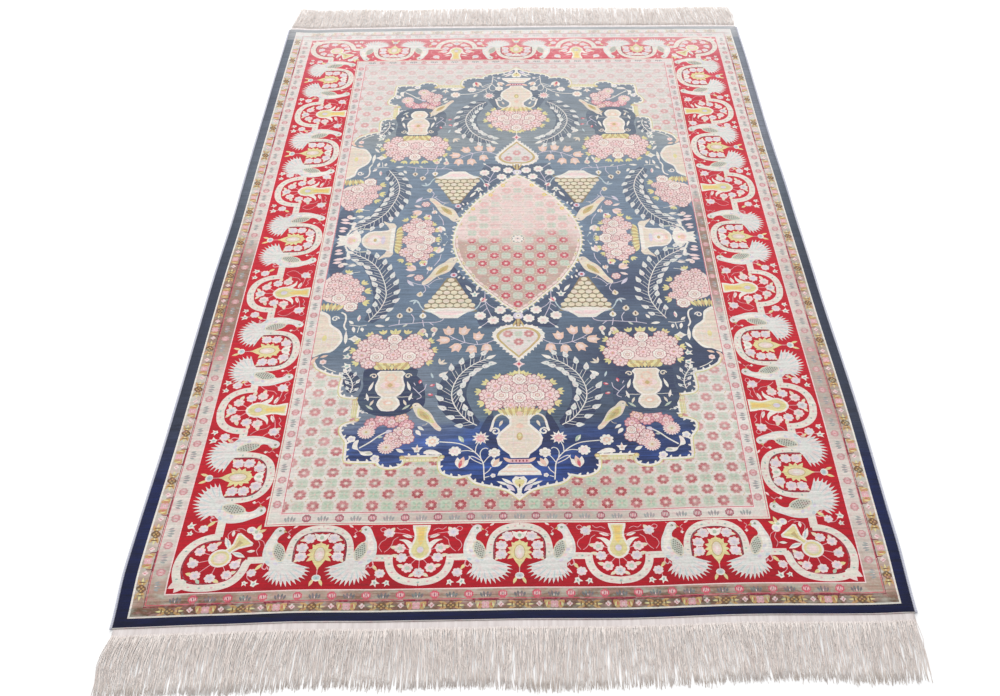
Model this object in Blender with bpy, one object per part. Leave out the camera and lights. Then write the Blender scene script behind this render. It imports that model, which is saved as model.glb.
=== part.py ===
"""A small hand-knotted silk rug with red-bordered medallion field, laid flat.

The rug is a flat knotted cloth, an overcast cord along each side, and at each end
a narrow flat-woven strip whose loose warps stand out as fringe.

Units are metres.  +Z is up, +Y runs along the rug, and the origin is the middle
of the cloth's underside, on the surface that the rug lies on.
"""

import math
import random

import bpy
import bmesh

# ---- Driving dimensions -------------------------------------------------------

CLOTH_WIDTH = 1.000      # side to side, over the side cords
CLOTH_LENGTH = 1.500     # end to end, without strips and fringe
CLOTH_THICK = 0.004      # foundation and clipped pile together
PILE_EDGE_ROUND = 0.0010

CORD_RADIUS = 0.0017     # overcast cord along each side
SEAM_GAP = 0.0003        # clearance between neighbouring pieces

STRIP_WIDTH = 0.0115     # flat-woven strip at each end, along Y
STRIP_THICK = 0.0016

STRAND_COUNT = 140       # at each end
STRAND_ROOT_SHARE = 0.58 # part of a strand's pitch that its root fills
STRAND_TIP_SHARE = 0.42
STRAND_TIP_THICK = 0.0010
STRAND_STEPS = 4         # straight lengths in one strand
LENGTH_JITTER = 0.0040   # how far single strands fall short
SIDE_JITTER = 0.0007     # how far single strands lean by themselves

SIDE_POINTS = 41         # outline points along one side
END_POINTS = 31          # outline points along one end
RANDOM_SEED = 11

# ---- How the laid cloth strays from a true rectangle --------------------------
# Each row: share of the way along the edge (0 to 1), outward offset in metres.

LEFT_EDGE = (            # from the front end to the back end
    (0.00, 0.0005), (0.06, 0.0050), (0.22, 0.0025), (0.42, 0.0035),
    (0.55, 0.0008), (0.70, 0.0015), (0.88, 0.0015), (1.00, 0.0005),
)
RIGHT_EDGE = (
    (0.00, 0.0005), (0.08, 0.0042), (0.22, 0.0062), (0.42, 0.0022),
    (0.58, 0.0005), (0.72, -0.0020), (0.90, -0.0010), (1.00, -0.0025),
)
FRONT_EDGE = (           # from the left corner to the right corner
    (0.00, -0.0010), (0.12, -0.0030), (0.22, -0.0048), (0.34, -0.0030),
    (0.48, -0.0026), (0.64, 0.0000), (0.78, -0.0022), (0.95, 0.0006), (1.00, -0.0006),
)
BACK_EDGE = (
    (0.00, -0.0005), (0.05, -0.0055), (0.14, -0.0020), (0.35, 0.0010),
    (0.60, 0.0018), (0.85, 0.0008), (1.00, -0.0005),
)

# ---- The two ends: one row for each --------------------------------------------
# name, direction along Y, edge table, fringe reach beyond the cloth, side pull at
# the left and right corners halfway down the fringe, and the same at its tips.

ENDS = (
    ("fringe_front", -1.0, FRONT_EDGE, 0.092, (-0.0090, -0.0010), (-0.0050, -0.0040)),
    ("fringe_back", 1.0, BACK_EDGE, 0.098, (0.0035, 0.0010), (0.0080, -0.0040)),
)
# Slow swell of the fringe's reach along an end: waves across, depth in metres, phase.
REACH_WAVES = ((2.0, 0.0026, 0.9), (5.3, 0.0017, 2.3))
# Slow sideways sweep of the strands: waves across, depth in metres, phase.
SWEEP_WAVES = ((3.0, 0.0040, 0.4), (7.7, 0.0022, 1.9))

# ---- Finishes: base colour, roughness, sheen ------------------------------------

FINISHES = {
    "pile": ((0.42, 0.20, 0.22, 1.0), 0.62, 0.35),
    "side_cord": ((0.62, 0.62, 0.68, 1.0), 0.60, 0.20),
    "fringe": ((0.78, 0.70, 0.66, 1.0), 0.66, 0.20),
}


# ---- Edge shapes ------------------------------------------------------------------

def stray(table, share):
    """Outward offset at a share of the way along an edge, eased between rows."""
    for (a, low), (b, high) in zip(table, table[1:]):
        if share <= b:
            t = (share - a) / (b - a)
            ease = t * t * (3.0 - 2.0 * t)
            return low + (high - low) * ease
    return table[-1][1]


def along_edge(table, position, full, count):
    """Outward offset at a position along an edge, straight between its outline points."""
    share = min(max(position / full + 0.5, 0.0), 1.0)
    step = min(int(share * (count - 1)), count - 2)
    low = stray(table, step / (count - 1))
    high = stray(table, (step + 1) / (count - 1))
    return low + (high - low) * (share * (count - 1) - step)


def side_x(side, y, inset):
    """X of a side edge at y; side is -1 for left and +1 for right."""
    table = LEFT_EDGE if side < 0 else RIGHT_EDGE
    offset = along_edge(table, y, CLOTH_LENGTH, SIDE_POINTS)
    return side * (CLOTH_WIDTH / 2 - inset + offset)


def end_y(direction, table, x, outset):
    """Y of an end edge at x; direction is -1 for the front and +1 for the back."""
    offset = along_edge(table, x, CLOTH_WIDTH, END_POINTS)
    return direction * (CLOTH_LENGTH / 2 + outset + offset)


def spread(low, high, count):
    """Evenly spaced values from low to high, both included."""
    return [low + (high - low) * i / (count - 1) for i in range(count)]


# ---- Scene helpers -------------------------------------------------------------------

def clear_scene():
    for obj in list(bpy.data.objects):
        bpy.data.objects.remove(obj, do_unlink=True)


def new_collection(name):
    collection = bpy.data.collections.new(name)
    bpy.context.scene.collection.children.link(collection)
    return collection


def make_finish(name):
    color, roughness, sheen = FINISHES[name]
    material = bpy.data.materials.new(name)
    material.use_nodes = True
    shader = material.node_tree.nodes["Principled BSDF"]
    shader.inputs["Base Color"].default_value = color
    shader.inputs["Roughness"].default_value = roughness
    shader.inputs["Metallic"].default_value = 0.0
    shader.inputs["Sheen Weight"].default_value = sheen
    return material


def mesh_object(bm, name, collection, finish):
    """Turn a finished bmesh into a named object of the rug."""
    mesh = bpy.data.meshes.new(name)
    bm.to_mesh(mesh)
    bm.free()
    mesh.materials.append(finish)
    obj = bpy.data.objects.new(name, mesh)
    collection.objects.link(obj)
    return obj


# ---- Pieces ------------------------------------------------------------------------------

def cloth_outline():
    """Corner-to-corner outline of the knotted cloth, counter-clockwise."""
    inset = 2.0 * CORD_RADIUS + SEAM_GAP
    half_length = CLOTH_LENGTH / 2
    inner_xs = spread(-CLOTH_WIDTH / 2, CLOTH_WIDTH / 2, END_POINTS)[1:-1]
    inner_ys = spread(-half_length, half_length, SIDE_POINTS)[1:-1]
    outline = []
    for direction, table in ((-1.0, FRONT_EDGE), (1.0, BACK_EDGE)):
        left, right = (side_x(side, direction * half_length, inset) for side in (-1.0, 1.0))
        end = [(x, end_y(direction, table, x, 0.0)) for x in [left] + inner_xs + [right]]
        outline += end if direction < 0 else end[::-1]
        side = -direction
        edge = [(side_x(side, y, inset), y) for y in inner_ys]
        outline += edge if side > 0 else edge[::-1]
    return outline


def make_cloth(collection, finish):
    """The knotted cloth: a flat slab on its outline, its pile rounded over at the rim."""
    bm = bmesh.new()
    underside = bm.faces.new([bm.verts.new((x, y, 0.0)) for x, y in cloth_outline()])
    raised = bmesh.ops.extrude_face_region(bm, geom=[underside])
    top = [item for item in raised["geom"] if isinstance(item, bmesh.types.BMVert)]
    bmesh.ops.translate(bm, vec=(0.0, 0.0, CLOTH_THICK), verts=top)
    rim = [item for item in raised["geom"] if isinstance(item, bmesh.types.BMEdge)]
    bmesh.ops.bevel(bm, geom=rim, offset=PILE_EDGE_ROUND, segments=2, profile=0.5,
                    affect="EDGES")
    bmesh.ops.recalc_face_normals(bm, faces=bm.faces[:])
    return mesh_object(bm, "cloth", collection, finish)


def make_side_cord(collection, name, side, finish):
    """The overcast cord along one side, seated against the cloth's edge."""
    half_length = CLOTH_LENGTH / 2
    curve = bpy.data.curves.new(name, "CURVE")
    curve.dimensions = "3D"
    curve.bevel_depth = CORD_RADIUS
    curve.bevel_resolution = 2
    curve.use_fill_caps = True
    spline = curve.splines.new("POLY")
    ys = spread(-half_length, half_length, SIDE_POINTS)
    for index, direction, table in ((0, -1.0, FRONT_EDGE), (-1, 1.0, BACK_EDGE)):
        corner_x = side_x(side, ys[index], CORD_RADIUS)
        ys[index] = end_y(direction, table, corner_x, 0.0)
    spline.points.add(len(ys) - 1)
    for point, y in zip(spline.points, ys):
        point.co = (side_x(side, y, CORD_RADIUS), y, CORD_RADIUS, 1.0)
    cord = bpy.data.objects.new(name, curve)
    curve.materials.append(finish)
    collection.objects.link(cord)
    return cord


def wave_sum(waves, share):
    """Sum of slow waves at a share of the way across an end."""
    return sum(depth * math.sin(2.0 * math.pi * count * share + phase)
               for count, depth, phase in waves)


def side_pull(share, depth, halfway, tips):
    """Sideways drift of the fringe: none at the root, then halfway, then tips."""
    middle = halfway[0] * (1.0 - share) + halfway[1] * share
    far = tips[0] * (1.0 - share) + tips[1] * share
    corner = abs(2.0 * share - 1.0) ** 3
    if depth < 0.5:
        drift = middle * depth / 0.5
    else:
        drift = middle + (far - middle) * (depth - 0.5) / 0.5
    return corner * drift


def column_lines(direction):
    """X of the strip's column lines from left to right: gap, root, gap, and so on."""
    left, right = (side_x(side, direction * CLOTH_LENGTH / 2, CORD_RADIUS)
                   for side in (-1.0, 1.0))
    root = (right - left) / STRAND_COUNT * STRAND_ROOT_SHARE
    gap = (right - left - root * STRAND_COUNT) / (STRAND_COUNT + 1)
    lines = [left]
    for column in range(2 * STRAND_COUNT + 1):
        lines.append(lines[-1] + (root if column % 2 else gap))
    return lines


def make_strip(bm, direction, table):
    """Flat-woven strip with one outer wall face for each strand root and each gap."""
    lines = column_lines(direction)
    columns = len(lines) - 1
    bmesh.ops.create_grid(bm, x_segments=columns, y_segments=1, size=0.5)
    for vert in bm.verts:
        x = lines[round((vert.co.x + 0.5) * columns)]
        outset = SEAM_GAP + (STRIP_WIDTH if vert.co.y > 0.0 else 0.0)
        vert.co = (x, end_y(direction, table, x, outset), 0.0)
    raised = bmesh.ops.extrude_face_region(bm, geom=bm.faces[:])
    top = [item for item in raised["geom"] if isinstance(item, bmesh.types.BMVert)]
    bmesh.ops.translate(bm, vec=(0.0, 0.0, STRIP_THICK), verts=top)
    bmesh.ops.recalc_face_normals(bm, faces=bm.faces[:])


def root_faces(bm, direction, table):
    """Outer wall faces that carry a strand, from left to right."""
    faces = []
    for face in bm.faces:
        center = face.calc_center_median()
        outward = face.normal.y * direction
        middle = end_y(direction, table, center.x, SEAM_GAP + STRIP_WIDTH / 2)
        beyond = (center.y - middle) * direction > 0.0
        if outward > 0.9 and beyond:
            faces.append(face)
    faces.sort(key=lambda face: face.calc_center_median().x)
    return faces[1::2]


def grow_strand(bm, face, direction, reach, lean, halfway, tips):
    """Draw one strand out of its root face, level on the surface it lies on."""
    root = face.calc_center_median().copy()
    root_half = max(abs(vert.co.x - root.x) for vert in face.verts)
    tip_half = root_half * STRAND_TIP_SHARE / STRAND_ROOT_SHARE
    share = root.x / CLOTH_WIDTH + 0.5
    for step in range(1, STRAND_STEPS + 1):
        depth = step / STRAND_STEPS
        sweep = wave_sum(SWEEP_WAVES, share) * math.sin(0.5 * math.pi * depth)
        x = root.x + sweep + side_pull(share, depth, halfway, tips) + lean * depth
        y = root.y + direction * reach * depth
        half = root_half + (tip_half - root_half) * depth
        thick = STRIP_THICK + (STRAND_TIP_THICK - STRIP_THICK) * depth
        grown = bmesh.ops.extrude_discrete_faces(bm, faces=[face])
        face = grown["faces"][0]
        center = face.calc_center_median().copy()
        for vert in face.verts:
            side = 1.0 if vert.co.x > center.x else -1.0
            height = thick if vert.co.z > center.z else 0.0
            vert.co = (x + side * half, y, height)


def make_fringe(collection, row, rng, finish):
    """One end: the strip and its strands, fused at their roots."""
    name, direction, table, reach, halfway, tips = row
    bm = bmesh.new()
    make_strip(bm, direction, table)
    for face in root_faces(bm, direction, table):
        share = face.calc_center_median().x / CLOTH_WIDTH + 0.5
        length = reach - STRIP_WIDTH + wave_sum(REACH_WAVES, share)
        length -= LENGTH_JITTER * rng.random()
        lean = SIDE_JITTER * (2.0 * rng.random() - 1.0)
        grow_strand(bm, face, direction, length, lean, halfway, tips)
    bmesh.ops.recalc_face_normals(bm, faces=bm.faces[:])
    return mesh_object(bm, name, collection, finish)


# ---- Assembly --------------------------------------------------------------------------------

def build():
    clear_scene()
    collection = new_collection("hereke_rug")
    finishes = {name: make_finish(name) for name in FINISHES}
    rng = random.Random(RANDOM_SEED)
    make_cloth(collection, finishes["pile"])
    make_side_cord(collection, "side_cord_left", -1.0, finishes["side_cord"])
    make_side_cord(collection, "side_cord_right", 1.0, finishes["side_cord"])
    for row in ENDS:
        make_fringe(collection, row, rng, finishes["fringe"])


build()
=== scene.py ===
import math

import bpy
import numpy as np
from mathutils import Matrix, Vector
from mathutils.geometry import delaunay_2d_cdt


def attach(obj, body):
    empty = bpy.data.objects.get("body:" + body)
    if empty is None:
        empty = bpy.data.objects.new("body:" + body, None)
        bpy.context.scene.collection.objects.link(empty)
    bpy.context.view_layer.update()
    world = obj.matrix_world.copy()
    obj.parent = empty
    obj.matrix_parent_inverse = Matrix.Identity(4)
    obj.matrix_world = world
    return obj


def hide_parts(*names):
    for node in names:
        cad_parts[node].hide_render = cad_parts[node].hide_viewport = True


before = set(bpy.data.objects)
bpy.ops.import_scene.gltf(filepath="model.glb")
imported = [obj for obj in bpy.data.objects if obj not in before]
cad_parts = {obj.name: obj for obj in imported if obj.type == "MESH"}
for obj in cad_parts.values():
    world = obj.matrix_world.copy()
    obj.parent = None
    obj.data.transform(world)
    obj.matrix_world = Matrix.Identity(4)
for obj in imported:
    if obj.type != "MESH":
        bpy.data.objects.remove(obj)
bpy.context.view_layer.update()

# A knotted silk rug, lying flat. Lengths are in metres unless a name says mm. The pattern is
# drawn in plan, in millimetres: x to the right, y to the back, 0, 0 at the rug's middle.

CLOTH_WIDTH = 1.000
CLOTH_LENGTH = 1.500
CLOTH_THICK = 0.0040                 # foundation and pile
BACKING_THICK = 0.0028               # the woven foundation under the pile
PILE_SUNK = 0.0002                   # how far the pile reaches into the foundation
RIM_ROUND = 0.0011                   # the pile rounds off at the rug's edge
AXIS_SHIFT = 0.0038                  # the pattern's middle line stands this far right
FOLD = 0.00022                       # how far the faint folds dip
SEED = 7


# ---- Yarns: the dyer's colours, as seen in daylight (red, green, blue, 0 to 255) ---------

YARNS = {
    "navy": (44, 54, 98),
    "blue": (62, 88, 136),
    "red": (196, 26, 50),
    "maroon": (120, 20, 44),
    "ivory": (230, 223, 213),
    "cream": (220, 206, 188),
    "sage": (204, 201, 178),
    "leaf": (160, 182, 158),
    "teal": (150, 178, 170),
    "moss": (104, 122, 98),
    "gold": (190, 166, 112),
    "olive": (164, 150, 84),
    "yellow": (218, 206, 146),
    "brown": (110, 80, 50),
    "slate": (122, 128, 136),
    "pink": (220, 164, 170),
    "rose": (198, 78, 96),
    "blush": (232, 205, 203),
    "salmon": (226, 190, 170),
    "sky": (184, 198, 202),
    "lilac": (208, 198, 212),
    "pearl": (216, 214, 209),
    "bone": (222, 215, 202),
    "tan": (190, 168, 150),
    "ink": (60, 66, 100),
    "madder": (196, 74, 86),
    "haze": (208, 176, 164),
    "mint": (186, 196, 174),
    "petal": (228, 205, 199),
    "wine": (158, 88, 100),
    "honey": (190, 150, 92),
    "smoke": (104, 104, 108),
    "dusty": (196, 140, 142),
    "shell": (226, 204, 198),
    "butter": (222, 210, 182),
    "khaki": (132, 118, 88),
    "crimson": (190, 78, 92),
    "selvage": (212, 203, 200),
    "citron": (204, 196, 134),
    "quartz": (224, 208, 206),
    "amber": (226, 194, 108),
    "ash": (150, 150, 150),
    "stone": (190, 190, 178),
    "shadow": (108, 112, 98),
}


# ---- Drawing in plan: an outline is an array of x, y in millimetres ----------------------

def arc_angles(count, start=0.0):
    return start + 2.0 * np.pi * np.arange(count) / count


def turned(points, degrees):
    a = math.radians(degrees)
    spin = np.array([[math.cos(a), math.sin(a)], [-math.sin(a), math.cos(a)]])
    return np.asarray(points, float) @ spin


def oval(x, y, rx, ry=None, turn=0.0, count=12):
    a = arc_angles(count)
    ry = rx if ry is None else ry
    ring = np.stack([rx * np.cos(a), ry * np.sin(a)], 1)
    return turned(ring, turn) + (x, y)


def rect(x0, y0, x1, y1):
    """A rectangle from its front left and back right corners."""
    return np.array([(x0, y0), (x1, y0), (x1, y1), (x0, y1)])


def lobed(x, y, r, lobes, depth=0.25, turn=0.0, per_lobe=5, tall=1.0):
    """A round flower outline with full petals, its first notch at the turn angle."""
    a = arc_angles(lobes * per_lobe)
    swell = np.abs(np.sin(lobes * a / 2.0)) ** 0.7
    radius = r * (1.0 - depth + depth * swell)
    ring = np.stack([radius * np.cos(a), tall * radius * np.sin(a)], 1)
    return turned(ring, turn) + (x, y)


def star(x, y, outer, inner, points, turn=90.0, tall=1.0):
    a = arc_angles(2 * points)
    radius = np.where(np.arange(2 * points) % 2, inner, outer)
    ring = np.stack([radius * np.cos(a), tall * radius * np.sin(a)], 1)
    return turned(ring, turn) + (x, y)


def leaf(x, y, degrees, length, width, belly=0.5, bend=0.0, count=5):
    """A leaf from its foot at x, y, pointed at both ends, with its widest place at belly."""
    t = np.linspace(0.0, 1.0, count + 1)
    half = 0.5 * width * np.sin(np.pi * t ** (math.log(0.5) / math.log(belly)))
    spine = np.stack([length * t, bend * length * t * t], 1)
    lower = spine - np.stack([np.zeros_like(half), half], 1)
    upper = spine + np.stack([np.zeros_like(half), half], 1)
    ring = np.concatenate([lower, upper[-2:0:-1]])
    return turned(ring, degrees) + (x, y)


def leaf_to(x, y, tip_x, tip_y, width, belly=0.5, bend=0.0, count=5):
    """A leaf drawn from its foot to its tip."""
    length = math.hypot(tip_x - x, tip_y - y)
    return leaf(x, y, math.degrees(math.atan2(tip_y - y, tip_x - x)), length, width,
                belly, bend, count)


def eased(points, closed=False, steps=4):
    """A smooth curve through the points (Catmull-Rom); a point given twice is a corner."""
    p = np.asarray(points, float)
    if not closed:
        corners = 1 + np.flatnonzero(np.hypot(*np.diff(p, axis=0).T) < 1e-9)
        if len(corners):
            runs = [run for run in np.split(p, corners) if len(run) > 1]
            parts = [eased(run, False, steps)[:-1] for run in runs]
            return np.vstack(parts + [p[-1:]])
    if closed:
        before, after, after2 = np.roll(p, 1, 0), np.roll(p, -1, 0), np.roll(p, -2, 0)
    else:
        before = np.vstack([2 * p[0] - p[1], p[:-1]])[:-1]
        after, after2 = p[1:], np.vstack([p[2:], 2 * p[-1] - p[-2]])
        p = p[:-1]
    t = (np.arange(steps) / steps)[None, :, None]
    a, b, c, d = (q[:, None, :] for q in (before, p, after, after2))
    curve = 0.5 * (2 * b + (c - a) * t + (2 * a - 5 * b + 4 * c - d) * t ** 2
                   + (3 * b - a - 3 * c + d) * t ** 3)
    curve = curve.reshape(-1, 2)
    return curve if closed else np.vstack([curve, after[-1]])


def blob(points, steps=3):
    """A closed smooth outline through the points."""
    return eased(points, True, steps)


def ribbon(points, width, end_width=None, steps=4, smooth=True):
    """A band of yarn along a path, evenly wide or tapering to end_width."""
    path = eased(points, False, steps) if smooth else np.asarray(points, float)
    run = np.gradient(path, axis=0)
    run /= np.maximum(np.hypot(run[:, 0], run[:, 1]), 1e-9)[:, None]
    side = np.stack([-run[:, 1], run[:, 0]], 1)
    end_width = width if end_width is None else end_width
    half = 0.5 * np.linspace(width, end_width, len(path))[:, None]
    return np.concatenate([path - side * half, (path + side * half)[::-1]])


def both(outline):
    """An outline and its mirror image, left to right."""
    return [outline, np.asarray(outline) * (-1.0, 1.0)]


def halves(points):
    """A closed outline from its right half, listed from the top of the middle line."""
    right = np.asarray(points, float)
    left = (right * (-1.0, 1.0))[::-1]
    return np.concatenate([right, left])


def moved(motif, x=0.0, y=0.0, turn=0.0, size=1.0, flip=False, tall=1.0):
    """A motif flipped left to right, sized, turned and moved; a motif is (yarn, outline) pairs."""
    scale = np.array([-size if flip else size, size * tall])
    return [(yarn, turned(np.asarray(line) * scale, turn) + (x, y)) for yarn, line in motif]


def mirrored(motif):
    """A motif with its mirror image, left to right."""
    return [pair for yarn, line in motif for pair in zip((yarn, yarn), both(line))]


# ---- Small motifs ------------------------------------------------------------------------

def blossom(r, petals=7, rim="quartz", heart="lilac", pip="mint"):
    """A small round flower: full petals, a heart and a pip."""
    return [(rim, lobed(0, 0, 1.1 * r, petals, 0.2)),
            (heart, lobed(0, 0, 0.56 * r, petals, 0.3, 0, 3)), (pip, oval(0, 0, 0.17 * r, count=6))]


def lily(size):
    """A three-pointed bud seen from the side, its long point at +Y."""
    right = [(0, 8.2), (1.7, 3.2), (6.8, 3.6), (3.4, -0.6), (2.8, -4)]
    heart = oval(0, 0.4, 1.6, 2.4, count=8)
    return [("ivory", halves(right) * size), ("teal", heart * size)]


def diaper_rosette(body="madder"):
    """The red eight-petalled flower of the field."""
    motif = [
        ("haze", lobed(0, 0, 9.9, 8, 0.16, 0, 2)), (body, lobed(0, 0, 8.4, 8, 0.24, 0, 4)),
        ("haze", star(0, 0, 4.3, 2.1, 8)), ("petal", oval(0, 0, 1.7, count=6)),
    ]
    return motif


def diaper_leaves():
    """The green leafy cross between the flowers."""
    motif = [("mint", lobed(0, 0, 9.4, 4, 0.22, 0, 4))]
    for k in range(4):
        motif.append(("leaf", leaf(0, 0, 90 * k + 45, 7.6, 3.4, 0.6, 0, 3)))
    motif.append(("haze", star(0, 0, 2.4, 1, 4)))
    return motif


def diaper_spray():
    """The small gold sprig at the corners of the cells."""
    return [("gold", leaf(0, -3.6, 90, 7.2, 1.5, 0.5, 0, 3)), ("cream", oval(0, 0, 1.2, count=5))]


def guard_rosette(body="rose", heart="maroon"):
    """Round striped flower of the narrow borders."""
    motif = [(body, lobed(0, 0, 6.3, 8, 0.14, 0, 3))]
    for dx in (-3.1, -1.1, 1.1, 3.1):
        tall = 3.9 - 0.35 * abs(dx)
        motif.append(("blush", oval(dx, 0, 0.6, tall, 0, 6)))
    motif.append((heart, oval(0, 0, 0.8, 1.9, 0, 6)))
    return motif


def guard_leaves(yarn="slate"):
    """Paired grey petals between the striped flowers."""
    motif = []
    for dx in (-5, -1.8, 1.8, 5):
        lean = 90 - 4 * dx
        motif.append((yarn, leaf(dx * 0.85, -5.2, lean, 10.4 - 0.5 * abs(dx), 3.3, 0.56)))
    motif.append(("blush", oval(0, -2.4, 0.6, 1.8, 0, 6)))
    return motif


def gold_palmette():
    """Gold figure of the outer border: a dark lattice of four dots between gold leaves."""
    motif = []
    for side in (-1, 1):
        for dy in (-3.2, 3.2):
            motif.append(("honey",
                          leaf(side * 4, dy * 0.4, 90 - side * 90 + side * dy * 7, 12, 4.2, 0.45)))
        motif += [
            ("yellow", leaf(side * 6, 0, 90 - side * 90, 11.5, 3)),
            ("brown", oval(side * 10, 0, 1, 4.6, 0, 6)),
        ]
    motif.append(("brown", lobed(0, 0, 7, 4, 0.16, 45, 4, 0.84)))
    for k in range(4):
        a = math.radians(90 * k)
        motif.append(("honey", oval(2.9 * math.cos(a), 2.5 * math.sin(a), 1.5, 1.25, 0, 8)))
    return motif


def pink_figure():
    """Pink four-petalled flower with gold wings under a red bracket."""
    motif = [("maroon", rect(-16.5, 7.4, 16.5, 8.9))]
    for side in (-1, 1):
        motif += [
            ("maroon", ribbon([(side * 13.6, 8), (side * 14, 3), (side * 12.6, -0.5)], 2, 0.8, 3)),
            ("honey", blob([(side * 4.5, 4.5), (side * 12.6, 5.6), (side * 12, 0), (side * 9, -5.6),
                            (side * 5, -4)], 2)),
            ("yellow", leaf(side * 10.6, -4, 90 + side * 12, 8.4, 2.4)),
            ("rose", oval(side * 7.3, 0.6, 0.8, 2.8, 0, 6)),
            ("blush", lobed(side * 19.2, 0.6, 4, 4, 0.35, 45, 3)),
            ("rose", leaf(side * 18.2, -2.4, 60 if side > 0 else 120, 5.6, 1.1, 0.5, 0, 3)),
        ]
    motif += [
        ("pink", lobed(0, 0, 6, 4, 0.34, 0, 5)), ("ivory", star(0, 0, 2.6, 1, 4, 45)),
        ("rose", oval(0, 0, 0.8, count=5)),
    ]
    return motif


# ---- The main border: u runs along it, v outward from the field -------------------------

def peacock():
    """Peacock on the left of its arch, head to the field, tail fanned at the outer edge."""
    body = blob([(-51, 6.2), (-56.5, 3.4), (-61.5, 5.4), (-65, 11), (-68.6, 20), (-72.6, 30),
                 (-74.2, 41), (-73.6, 51), (-70, 59), (-63, 67), (-54, 70), (-42, 62), (-42.6, 53),
                 (-45, 44), (-49, 36), (-54, 31), (-58, 27), (-57.4, 21), (-54.4, 16.4), (-50.6, 13)])
    beak = np.array([(-52, 7.6), (-51.4, 12.6), (-46.6, 12.4)])
    fan = blob([(-60, 64), (-61.6, 76), (-57, 85), (-48, 90), (-38, 91), (-27, 88.6), (-18.6, 83),
                (-15.6, 76), (-19, 68.4), (-31, 63), (-42, 56)])
    motif = [("pearl", fan)]
    root = (-48, 64)
    reach = ((-69, 84), (-65, 88.5), (-60.6, 92), (-55.4, 95.6), (-49.6, 97.8), (-43.4, 99.6),
             (-37, 99.8), (-30.6, 98.6), (-24.4, 96.4), (-18.6, 93), (-14, 88.6), (-10.8, 83.4),
             (-8.8, 77.6), (-9.6, 71.6))
    for k, (tip_u, tip_v) in enumerate(reach):
        foot_u = root[0] + 0.36 * (tip_u - root[0])
        foot_v = root[1] + 0.36 * (tip_v - root[1])
        near_u, near_v = 0.8 * tip_u + 0.2 * foot_u, 0.8 * tip_v + 0.2 * foot_v
        motif += [
            ("pearl", leaf_to(foot_u, foot_v, tip_u, tip_v, 4.4, 0.45, 0, 4)),
            ("sky" if k % 2 else "blush", leaf_to(foot_u, foot_v, near_u, near_v, 1.7, 0.6, 0, 3))]
    motif += [
        ("pearl", body), ("gold", beak),
        ("ivory", blob([(-62, 14), (-59.6, 22), (-62, 32), (-63, 46), (-66.6, 52), (-70.6, 42),
                        (-68.6, 30), (-65, 19)], 2)),
    ]
    for u, v, yarn in ((-60, 55, "blush"), (-66, 60, "sky"), (-55, 63, "lilac"), (-64, 46, "lilac"),
                       (-50, 60, "sky")):
        motif.append((yarn, oval(u, v, 3.4, 2.2, 30, 8)))
    motif += [("butter", oval(-53.2, 45, 8.2, 16.4, -16)), ("stone", oval(-53, 45, 7, 15, -16))]
    for row in range(9):
        for col in range(-2, 3):
            du = 3 * col + (1.5 if row % 2 else 0)
            dv = 3.2 * (row - 4)
            if (du / 6.2) ** 2 + (dv / 14) ** 2 < 0.95:
                spot = turned([(du, dv)], -16)[0]
                motif.append(("shadow", lobed(-53 + spot[0], 45 + spot[1], 1.35, 4, 0.3, 45, 2)))
    motif += [
        ("moss", oval(-56.6, 9.4, 1.9, count=8)), ("ivory", oval(-56.9, 9.9, 0.6, count=5)),
        ("pink", ribbon([(-70, 61), (-71.6, 68), (-67.6, 71.4), (-65.4, 68)], 1.8, 1.2, 3)),
        ("pink", leaf_to(-66, 66, -62.6, 72.6, 2.2, 0.5, 0, 3)),
    ]
    return motif


def arch_flowers():
    """What hangs inside a bird arch: dark line, white blossoms and the gold star flower."""
    line = [(0, 13.2), (9, 13.8), (18, 16), (26, 20.6), (31.4, 28), (33.6, 38), (33.8, 50), (33.6, 60),
            (36.4, 64.6)]
    motif = mirrored([("maroon", ribbon(line, 1.7, 2.6, 2))])
    motif += [
        ("ivory", halves([(0, 15.6), (4, 17.4), (10.4, 15), (8.6, 21), (5.6, 26.6), (0, 29)])),
        ("leaf", oval(0, 22.2, 2.8, 3.4, 0, 8)),
    ]
    for u, v, tip_u, tip_v in ((15.8, 23.6, 28.4, 27), (23.8, 38.6, 31.6, 33.2), (24, 53, 32.4, 62.4)):
        side = [("butter", leaf_to(u, v, tip_u, tip_v, 5.4))]
        side += moved(blossom(7.4, 7), u, v)
        motif += mirrored(side)
    for u, v in ((30.6, 46), (20.2, 31)):
        motif += mirrored([("maroon", oval(u - 6.4, v, 1, 0.7, 0, 6))])
    tips = ((0, 28.6), (10.8, 33.4), (15.8, 42), (16.8, 50.8), (16, 60.8))
    for u, v in tips:
        ray = [("yellow", leaf_to(0.25 * u, 0.25 * v + 0.75 * 48, u, v, 6.6, 0.45, 0, 4))]
        motif += mirrored(ray) if u else ray
    body = halves([(0, 31), (6, 33), (10.4, 40), (11.2, 48), (9.4, 57), (5.4, 65), (1.6, 70.6),
                   (0, 76)])
    motif += [
        ("yellow", body), ("gold", oval(0, 49.5, 7.6, 12.6)), ("cream", oval(0, 49.5, 6.4, 11.2)),
        ("blush", oval(0, 51, 3.6, 7.2)), ("ivory", oval(0, 50, 1.8, 4.4, 0, 8)),
        ("pink", np.array([(-0.6, 74), (0.6, 74), (0.5, 82), (-0.5, 82)])),
    ]
    motif += mirrored([("yellow", leaf_to(2, 86, 9.6, 98.6, 4.4, 0.6, 0.1))])
    motif += [
        ("ivory", oval(0, 87, 6, 5.2)), ("sky", oval(0, 86.4, 4.4, 3.7, 0, 10)),
        ("teal", oval(0, 87, 1.8, 1.4, 0, 6)),
    ]
    return motif


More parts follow.
